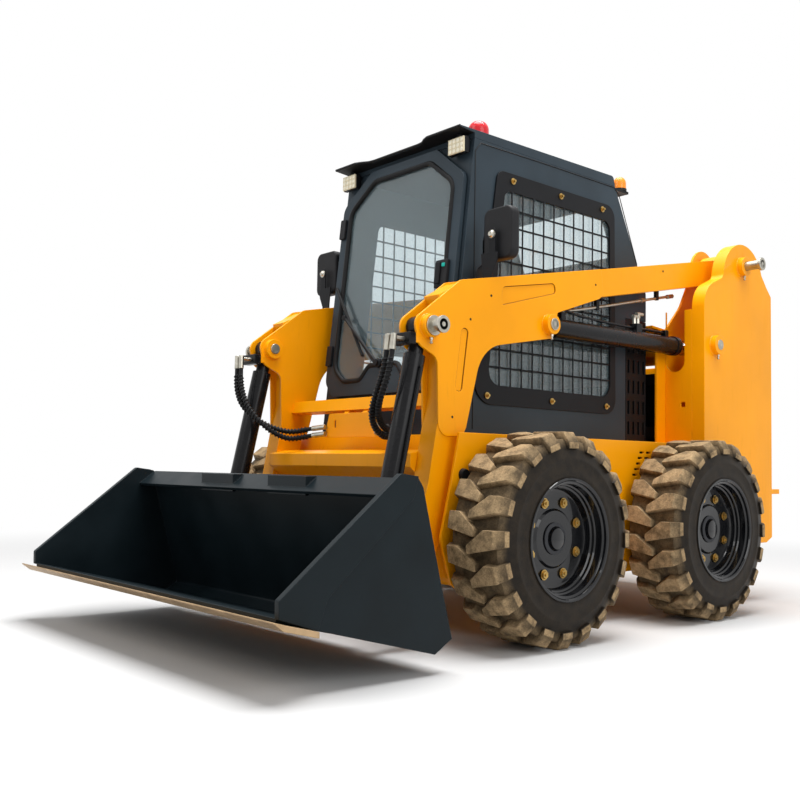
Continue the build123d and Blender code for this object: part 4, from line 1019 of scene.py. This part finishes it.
def make_work_lights():
    """Square flood lamps: finned housing, lens with three rows of emitters, and bracket."""
    low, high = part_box("work_lights")
    front, half, foot, top = low.y, WORK_LIGHT_HALF, WORK_LIGHT_FOOT, WORK_LIGHT_TOP
    for side_name, side in SIDES:
        middle = side * WORK_LIGHT_X
        work = bmesh.new()
        add_block(work, (middle - half, front + 0.010, foot), (middle + half, front + 0.030, top))
        for fin in range(7):
            x = middle + (fin - 3) * 0.0128
            add_block(work, (x - 0.0025, front + 0.0295, foot + 0.005),
                      (x + 0.0025, front + 0.042, top - 0.005))
        housing = finished(f"work_light_housing_{side_name}", work, "black_paint", "machine", "moulded_black",
                           ease=0.0015)
        work = bmesh.new()
        add_block(work, (middle - half + 0.002, front + 0.002, foot + 0.002),
                  (middle + half - 0.002, front + 0.0105, top - 0.002))
        lens = finished(f"work_light_lens_{side_name}", work, "work_lens", "machine", "lamp_lens", ease=0.002)
        work = bmesh.new()
        for row in range(3):
            for column in range(4):
                x = middle + (column - 1.5) * EMITTER_PITCH[0]
                z = (foot + top) / 2 + (row - 1) * EMITTER_PITCH[1]
                add_turned(work, (x, front + 0.0025, z), (0, -1, 0), EMITTER, sides=20)
        beads = finished(f"work_light_beads_{side_name}", work, "led_lens", "machine", "lamp_lens", sharp=60)
        work = bmesh.new()
        add_block(work, (middle - 0.013, front + 0.020, 1.948),
                  (middle + 0.013, front + 0.046, high.z - 0.0025))
        bracket = finished(f"work_light_bracket_{side_name}", work, "black_paint", "machine", "frame_black",
                           ease=0.0015)
        for piece in (housing, lens, beads, bracket):
            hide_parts("work_lights")


class LOADER_OT_lamps(bpy.types.Operator):
    """Beacon, corner lamps and work lights"""
    bl_idname = "loader.lamps"
    bl_label = "Lamps"

    def execute(self, context):
        make_domes()
        make_work_lights()
        return {"FINISHED"}


# ------------------------------------------------------------------ arms and cylinders
PIN_BOSSES = (
    # name, body, x of the boss's foot and of its face, station, height, radius, x of the pin's end,
    # radius of its washer
    ("tilt", "boom", 0.5405, 0.568, -0.403, 1.139, 0.042, 0.620, 0.036),
    ("lift", "boom", 0.5405, 0.570, 0.260, 1.218, 0.040, 0.575, 0.0),
    ("pivot", "machine", 0.6500, 0.678, 1.592, 1.642, 0.046, 0.760, 0.0),
    ("base", "machine", 0.6500, 0.678, 1.345, 1.232, 0.046, 0.680, 0.0),
)
ARM_FACE = 0.5400               # outer face of an arm's plate
PLUG_HOLES = ((-0.189, 1.189), (-0.078, 1.292), (0.570, 1.425), (1.079, 1.560), (-0.278, 0.821))


def bead(centre, radius, ripple=0.0006):
    """Line of a weld bead round a boss in the plane square to X."""
    count = max(60, int(2 * math.pi * radius / 0.0035))
    line = []
    for step in range(count):
        turn = 2 * math.pi * step / count
        reach = radius + ripple * math.sin(turn * count / 3)
        line.append(Vector(centre) + Vector((0, reach * math.cos(turn), reach * math.sin(turn))))
    return line


SLOT_DEPTH = 0.0038             # how far in a slot's line of painted shade lies
ARM_SLOTS = (
    # (station, height, corner radius) round each pressed slot
    ((-0.233, 1.156, 0.017), (-0.266, 0.920, 0.016), (-0.230, 0.914, 0.016), (-0.197, 1.150, 0.017)),
    ((-0.016, 1.336, 0.026), (-0.016, 1.264, 0.008), (0.306, 1.352, 0.017), (0.300, 1.394, 0.020)),
)


def rounded_loop(rows, steps=6):
    """Closed line through (y, z, radius) corners, each corner turned into an arc."""
    loop = []
    for index, (y, z, radius) in enumerate(rows):
        here = Vector((y, z))
        before = (Vector(rows[index - 1][:2]) - here).normalized()
        after = (Vector(rows[(index + 1) % len(rows)][:2]) - here).normalized()
        reach = radius / math.tan(before.angle(after) / 2)
        for step in range(steps + 1):
            share = step / steps
            loop.append(here + before * reach * (1 - share) ** 2 + after * reach * share ** 2)
    return loop


def make_slot_painted_shade():
    """Painted shade: a dark brown line laid in the corners of the arms' pressed slots, where their shade
    falls.
    """
    for side_name, side in SIDES:
        work = bmesh.new()
        for rows in ARM_SLOTS:
            line = [sided(side, ARM_FACE - SLOT_DEPTH, *spot) for spot in rounded_loop(rows)]
            add_sweep(work, line, 0.0023, sides=6, closed=True)
        # dark brown line of painted shade in each slot's corner
        finished(f"slot_painted_shade_{side_name}", work, "painted_corner_shade", "boom", "machine_yellow", sharp=60)


def add_nipple(work, place, axis):
    """Grease nipple: hexagon, neck and ball."""
    add_turned(work, Vector(place) - Vector(axis) * 0.002, axis, [(0, 0.0075), (0.010, 0.0075)], sides=6)
    add_turned(work, Vector(place) + Vector(axis) * 0.008, axis,
               [(0, 0.0045), (0.006, 0.0040), (0.009, 0.0058), (0.013, 0.0052), (0.015, 0.0)], sides=14)


def make_pins():
    """Welds, washers, end discs and nipples of the pins, the arms' plugs and port covers."""
    eased("arm_pins", 0.002)
    for side_name, side in SIDES:
        for name, body, inner, face, station, height, radius, end, washer in PIN_BOSSES:
            swept_piece(f"{name}_weld_{side_name}", bead(sided(side, inner, station, height), radius + 0.001),
                        0.0035, "sprayed_enamel", body, "machine_yellow", closed=True)
            work = bmesh.new()
            add_nipple(work, sided(side, face - 0.012, station, height - radius), (0, 0, -1))
            finished(f"{name}_nipple_{side_name}", work, "zinc_plate", body, "zinc_steel")
            work = bmesh.new()
            if washer:
                add_turned(work, sided(side, face + 0.0005, station, height), (side, 0, 0),
                           [(0, 0.0222), (0, washer), (0.006, washer), (0.006, 0.0222)], sides=40)
            reach = 0.031 if end > face + 0.01 else 0.024
            add_turned(work, sided(side, end - 0.012, station, height), (side, 0, 0),
                       [(0, 0.015), (0, reach), (0.012, reach), (0.012, 0.008), (0.0105, 0.007), (0.0105, 0)],
                       sides=40)
            holder = "machine" if name == "base" else "boom"
            finished(f"{name}_pin_disc_{side_name}", work, "zinc_plate", holder, "zinc_steel", ease=0.0008)
        work = bmesh.new()
        for spot in PLUG_HOLES:
            add_turned(work, sided(side, ARM_FACE - 0.0002, *spot), (side, 0, 0),
                       [(0, 0.0048), (0.0008, 0.0048)], sides=16)
        finished(f"arm_plugs_{side_name}", work, "black_rubber", "boom", "black_rubber")
        boxed_piece(f"port_cover_{side_name}", side, [((0.4485, -0.4935, 1.0685), (0.5415, -0.4610, 1.1115))],
                    "cylinder_paint", "boom", "cylinder_black", ease=0.003)


LIFT_X = 0.495                  # middle of a lift cylinder
LIFT_PORTS = (
    ((0.480, 0.380, 1.252), (0.510, 0.410, 1.290)),
    ((0.474, 0.908, 1.255), (0.516, 0.950, 1.302)),
    ((0.482, 1.150, 1.262), (0.508, 1.176, 1.298)),
)
LIFT_LINES = {
    # (x, station, height) along each line
    "front": ((LIFT_X, 0.395, 1.280), (LIFT_X, 0.395, 1.303), (LIFT_X, 0.420, 1.303), (LIFT_X, 0.500, 1.290),
              (LIFT_X, 0.700, 1.283), (LIFT_X, 0.880, 1.283), (LIFT_X, 0.912, 1.283)),
    "rear": ((LIFT_X, 0.945, 1.284), (LIFT_X, 1.000, 1.285), (LIFT_X, 1.100, 1.285), (LIFT_X, 1.155, 1.285)),
}
ARM_LINE = ((0.470, 0.420, 1.300), (0.470, 0.560, 1.324), (0.470, 1.000, 1.4215), (0.470, 1.220, 1.468),
            (0.470, 1.263, 1.477))
# (x, distance down the tilt barrel) along the line beside it
TILT_LINE = ((0.528, 0.150), (0.5445, 0.150), (0.5445, 0.170), (0.5445, 0.350), (0.5445, 0.530),
             (0.5445, 0.552), (0.528, 0.552))


def bent_line(name, points, radius, finish, body, slot):
    """Rigid oil line bent along points."""
    curve = smooth_curve(name, points)
    line, _ = line_of(curve)
    bpy.data.curves.remove(curve)
    return swept_piece(name, line, radius, finish, body, slot, sides=12)


TILT_PIN = Vector((0, -0.403, 1.139))       # (x, station, height) of the tilt cylinder's two pins
TILT_AXIS = (Vector((0, -0.575, 0.380)) - TILT_PIN).normalized()


def beside_tilt(x, along):
    """Point beside a tilt barrel, some way down from its upper pin."""
    spot = TILT_PIN + TILT_AXIS * along
    return at(x, spot.y, spot.z)


def make_cylinder_lines():
    """Port blocks and rigid oil lines of the cylinders, and the line under each arm."""
    for side_name, side in SIDES:
        body = f"lift_cylinder_{side_name}"
        boxed_piece(f"lift_ports_{side_name}", side, LIFT_PORTS, "cylinder_paint", body, "cylinder_black",
                    ease=0.0025)
        for name, row in LIFT_LINES.items():
            bent_line(f"lift_line_{name}_{side_name}", [sided(side, *point) for point in row], 0.0058,
                      "cylinder_paint", body, "cylinder_black")
        work = bmesh.new()
        for station, top in ((0.916, 1.334), (0.942, 1.348)):
            add_rod(work, sided(side, LIFT_X, station, 1.300), sided(side, LIFT_X, station, top), 0.0095, 6)
            add_rod(work, sided(side, LIFT_X, station - 0.009, top),
                    sided(side, LIFT_X, station + 0.036, top + 0.002), 0.0095, 16)
        finished(f"lift_elbows_{side_name}", work, "zinc_plate", body, "zinc_steel", ease=0.001)
        bent_line(f"arm_line_{side_name}", [sided(side, *point) for point in ARM_LINE], 0.0065, "zinc_plate",
                  "boom", "zinc_steel")
        work = bmesh.new()
        add_rod(work, sided(side, *ARM_LINE[-2]), sided(side, *ARM_LINE[-1]), 0.0115, 6)
        add_rod(work, sided(side, *ARM_LINE[2]), sided(side, 0.470, 1.030, 1.4285), 0.0105, 6)
        finished(f"arm_fittings_{side_name}", work, "zinc_plate", "boom", "zinc_steel", ease=0.001)
        clips = [((0.462, station, height - 0.010), (0.478, station + 0.020, height + 0.060))
                 for station, height in ((0.660, 1.346), (1.120, 1.450))]
        boxed_piece(f"arm_clips_{side_name}", side, clips, "black_paint", "boom", "frame_black")
        points = [mirrored(beside_tilt(*spot), side) for spot in TILT_LINE]
        bent_line(f"tilt_line_{side_name}", points, 0.0055, "cylinder_paint", f"tilt_cylinder_{side_name}",
                  "cylinder_black")


class LOADER_OT_arms(bpy.types.Operator):
    """Pins, welds, nipples and oil lines on the arms"""
    bl_idname = "loader.arms"
    bl_label = "Arms"

    def execute(self, context):
        make_pins()
        make_slot_painted_shade()
        make_cylinder_lines()
        eased("hose_guard", 0.0012)
        eased("hose_fittings", 0.0012)
        return {"FINISHED"}


# ------------------------------------------------------------------ engine bay
FIN_COUNT = 56
FIN_PITCH = 0.0102


def make_radiator():
    """Radiator before the rear grille: tanks, core and upright fins, on two legs."""
    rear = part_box("engine_block")[1].y
    near, far = rear + 0.045, rear + 0.105
    work = bmesh.new()
    add_block(work, (-0.285, near + 0.004, 0.450), (0.285, far - 0.004, 1.110))
    for fin in range(FIN_COUNT):
        x = -0.2805 + fin * FIN_PITCH
        add_block(work, (x - 0.0012, near, 0.4495), (x + 0.0012, far, 1.1105))
    finished("radiator_core", work, "black_paint", "machine", "frame_black")
    work = bmesh.new()
    add_block(work, (-0.300, near - 0.008, 1.110), (0.300, far + 0.008, 1.170))
    add_block(work, (-0.300, near - 0.008, 0.395), (0.300, far + 0.008, 0.450))
    for side in (-1, 1):
        add_block(work, (side * 0.2925 - 0.0075, near - 0.004, 0.215),
                  (side * 0.2925 + 0.0075, far + 0.004, 1.110))
    add_turned(work, (0.150, (near + far) / 2, 1.1695), (0, 0, 1),
               [(0, 0.030), (0.020, 0.030), (0.024, 0.026)], sides=32)
    finished("radiator_tanks", work, "black_paint", "machine", "frame_black", ease=0.004)


class LOADER_OT_engine(bpy.types.Operator):
    """Radiator inside the engine bay"""
    bl_idname = "loader.engine"
    bl_label = "Engine bay"

    def execute(self, context):
        make_radiator()
        return {"FINISHED"}


# ------------------------------------------------------------------ bucket
class LOADER_OT_bucket(bpy.types.Operator):
    """Bucket, its hitch and its cutting edge"""
    bl_idname = "loader.bucket"
    bl_label = "Bucket"

    def execute(self, context):
        eased("bucket_shell", 0.002)
        eased("quick_hitch", 0.0006)
        eased("cutting_edge", 0.002)
        return {"FINISHED"}


# ------------------------------------------------------------------ stage
CAMERA_PLACE = Vector((2.9755, -3.0177, 0.6371))
CAMERA_HEADING = math.radians(48.2824)
CAMERA_PITCH = math.radians(2.9933)
CAMERA_ROLL = math.radians(0.8630)
CAMERA_LENS = 42.33             # focal length in mm
CAMERA_SHIFT = (-0.0073, 0.0222)
SKY_LIGHT = 0.34                # the sky's strength where it lights the object


def make_camera():
    data = bpy.data.cameras.new("camera")
    data.lens = CAMERA_LENS
    data.shift_x, data.shift_y = CAMERA_SHIFT
    camera = bpy.data.objects.new("camera", data)
    bpy.context.scene.collection.objects.link(camera)
    ahead = Vector((-math.sin(CAMERA_HEADING) * math.cos(CAMERA_PITCH),
                    math.cos(CAMERA_HEADING) * math.cos(CAMERA_PITCH), math.sin(CAMERA_PITCH)))
    right = Vector((math.cos(CAMERA_HEADING), math.sin(CAMERA_HEADING), 0))
    up = right.cross(ahead)
    across = right * math.cos(CAMERA_ROLL) + up * math.sin(CAMERA_ROLL)
    above = up * math.cos(CAMERA_ROLL) - right * math.sin(CAMERA_ROLL)
    turned = Matrix((across, above, -ahead)).transposed().to_4x4()
    camera.matrix_world = Matrix.Translation(CAMERA_PLACE) @ turned
    bpy.context.scene.camera = camera


def make_world():
    """Even sky: white where the camera, gloss or glass sees it, plain light elsewhere."""
    world = bpy.data.worlds.new("studio")
    bpy.context.scene.world = world
    world.use_nodes = True
    tree = world.node_tree
    tree.nodes.clear()
    path = add(tree, "ShaderNodeLightPath").outputs
    seen = path["Is Camera Ray"]
    for ray in ("Is Glossy Ray", "Is Transmission Ray"):
        seen = combined(tree, "MAXIMUM", seen, path[ray])
    light, backdrop = [add(tree, "ShaderNodeBackground", {"Color": WHITE, "Strength": strength})
                       for strength in (SKY_LIGHT, 1.0)]
    add(tree, "ShaderNodeOutputWorld", {"Surface": mixed(tree, seen, light, backdrop).outputs[0]})


def make_floor():
    half = sizes().floor / 2
    mesh = bpy.data.meshes.new("floor")
    mesh.from_pydata([(-half, -half, 0), (half, -half, 0), (half, half, 0), (-half, half, 0)], [],
                     [(0, 1, 2, 3)])
    mesh.materials.append(material("pale_floor"))
    floor = bpy.data.objects.new("floor", mesh)
    bpy.context.scene.collection.objects.link(floor)


LAMPS = (
    # name, place, size, watts, looks at
    ("key", (-1.5, -6.5, 5.5), 4.0, 130, (0, 0, 0.9)),
    ("side", (6.5, -1.0, 3.8), 4.0, 145, (0, 0, 1.0)),
    ("top", (0.5, 0.0, 7.0), 5.0, 840, (0, 0, 0.8)),
)


def make_lamps():
    for name, place, size, watts, target in LAMPS:
        data = bpy.data.lights.new(name, "AREA")
        data.size = size
        data.energy = watts
        lamp = bpy.data.objects.new(name, data)
        bpy.context.scene.collection.objects.link(lamp)
        lamp.location = place
        lamp.rotation_euler = (Vector(target) - Vector(place)).to_track_quat("-Z", "Y").to_euler()


class LOADER_OT_stage(bpy.types.Operator):
    """Camera, floor, sky and soft lamps"""
    bl_idname = "loader.stage"
    bl_label = "Stage"

    def execute(self, context):
        make_camera()
        make_world()
        make_floor()
        make_lamps()
        context.scene.view_settings.view_transform = "Standard"
        return {"FINISHED"}


class LOADER_OT_finishes(bpy.types.Operator):
    """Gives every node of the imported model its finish"""
    bl_idname = "loader.finishes"
    bl_label = "Finishes"

    def execute(self, context):
        for node, piece in frame["nodes"].items():
            piece.data.materials.clear()
            piece.data.materials.append(material(FINISH_OF_SLOT[SLOT_OF[node]]))
        return {"FINISHED"}


EASED_NODES = (
    "chassis_frame", "tower_left", "tower_right", "tower_plates", "tower_ends", "lift_arm_left",
    "lift_arm_right", "cross_bars", "engine_hood", "rear_door",
)
# round and small pieces, which fit closely and take a finer edge
FINE_NODES = (
    "tilt_barrel_left", "tilt_barrel_right", "lift_barrel_left", "lift_barrel_right", "tilt_rod_left",
    "tilt_rod_right", "lift_rod_left", "lift_rod_right", "axle_housings", "control_pods", "cab_floor",
    "rubber_stops", "engine_block",
)
FINE_EASE = 0.0006


class LOADER_OT_plates(bpy.types.Operator):
    """Rounded edges on the welded plates, the cylinders and the small parts"""
    bl_idname = "loader.plates"
    bl_label = "Plate edges"

    def execute(self, context):
        for node in EASED_NODES:
            eased(node, sizes().ease)
        for node in FINE_NODES:
            eased(node, FINE_EASE)
        return {"FINISHED"}


class LOADER_PT_panel(bpy.types.Panel):
    """Lists the settings and the buttons that make the pieces"""
    bl_idname = "LOADER_PT_panel"
    bl_label = "Loader"
    bl_space_type = "VIEW_3D"
    bl_region_type = "UI"
    bl_category = "Loader"

    def draw(self, context):
        for group in (context.scene.loader_colours, context.scene.loader_sizes):
            for name in group.__annotations__:
                self.layout.prop(group, name)
        for operator in OPERATORS:
            self.layout.operator(operator.bl_idname)


OPERATORS = (LOADER_OT_stage, LOADER_OT_hoses, LOADER_OT_finishes, LOADER_OT_plates, LOADER_OT_wheels,
             LOADER_OT_cab, LOADER_OT_seat, LOADER_OT_lamps, LOADER_OT_arms, LOADER_OT_engine,
             LOADER_OT_bucket)
CLASSES = (LoaderColours, LoaderSizes, *OPERATORS, LOADER_PT_panel)


def register():
    for made in CLASSES:
        bpy.utils.register_class(made)
    bpy.types.Scene.loader_colours = bpy.props.PointerProperty(type=LoaderColours)
    bpy.types.Scene.loader_sizes = bpy.props.PointerProperty(type=LoaderSizes)


def unregister():
    del bpy.types.Scene.loader_sizes
    del bpy.types.Scene.loader_colours
    for made in reversed(CLASSES):
        bpy.utils.unregister_class(made)


def main():
    register()
    for operator in OPERATORS:
        group, name = operator.bl_idname.split(".")
        getattr(getattr(bpy.ops, group), name)()


if __name__ == "__main__":
    main()
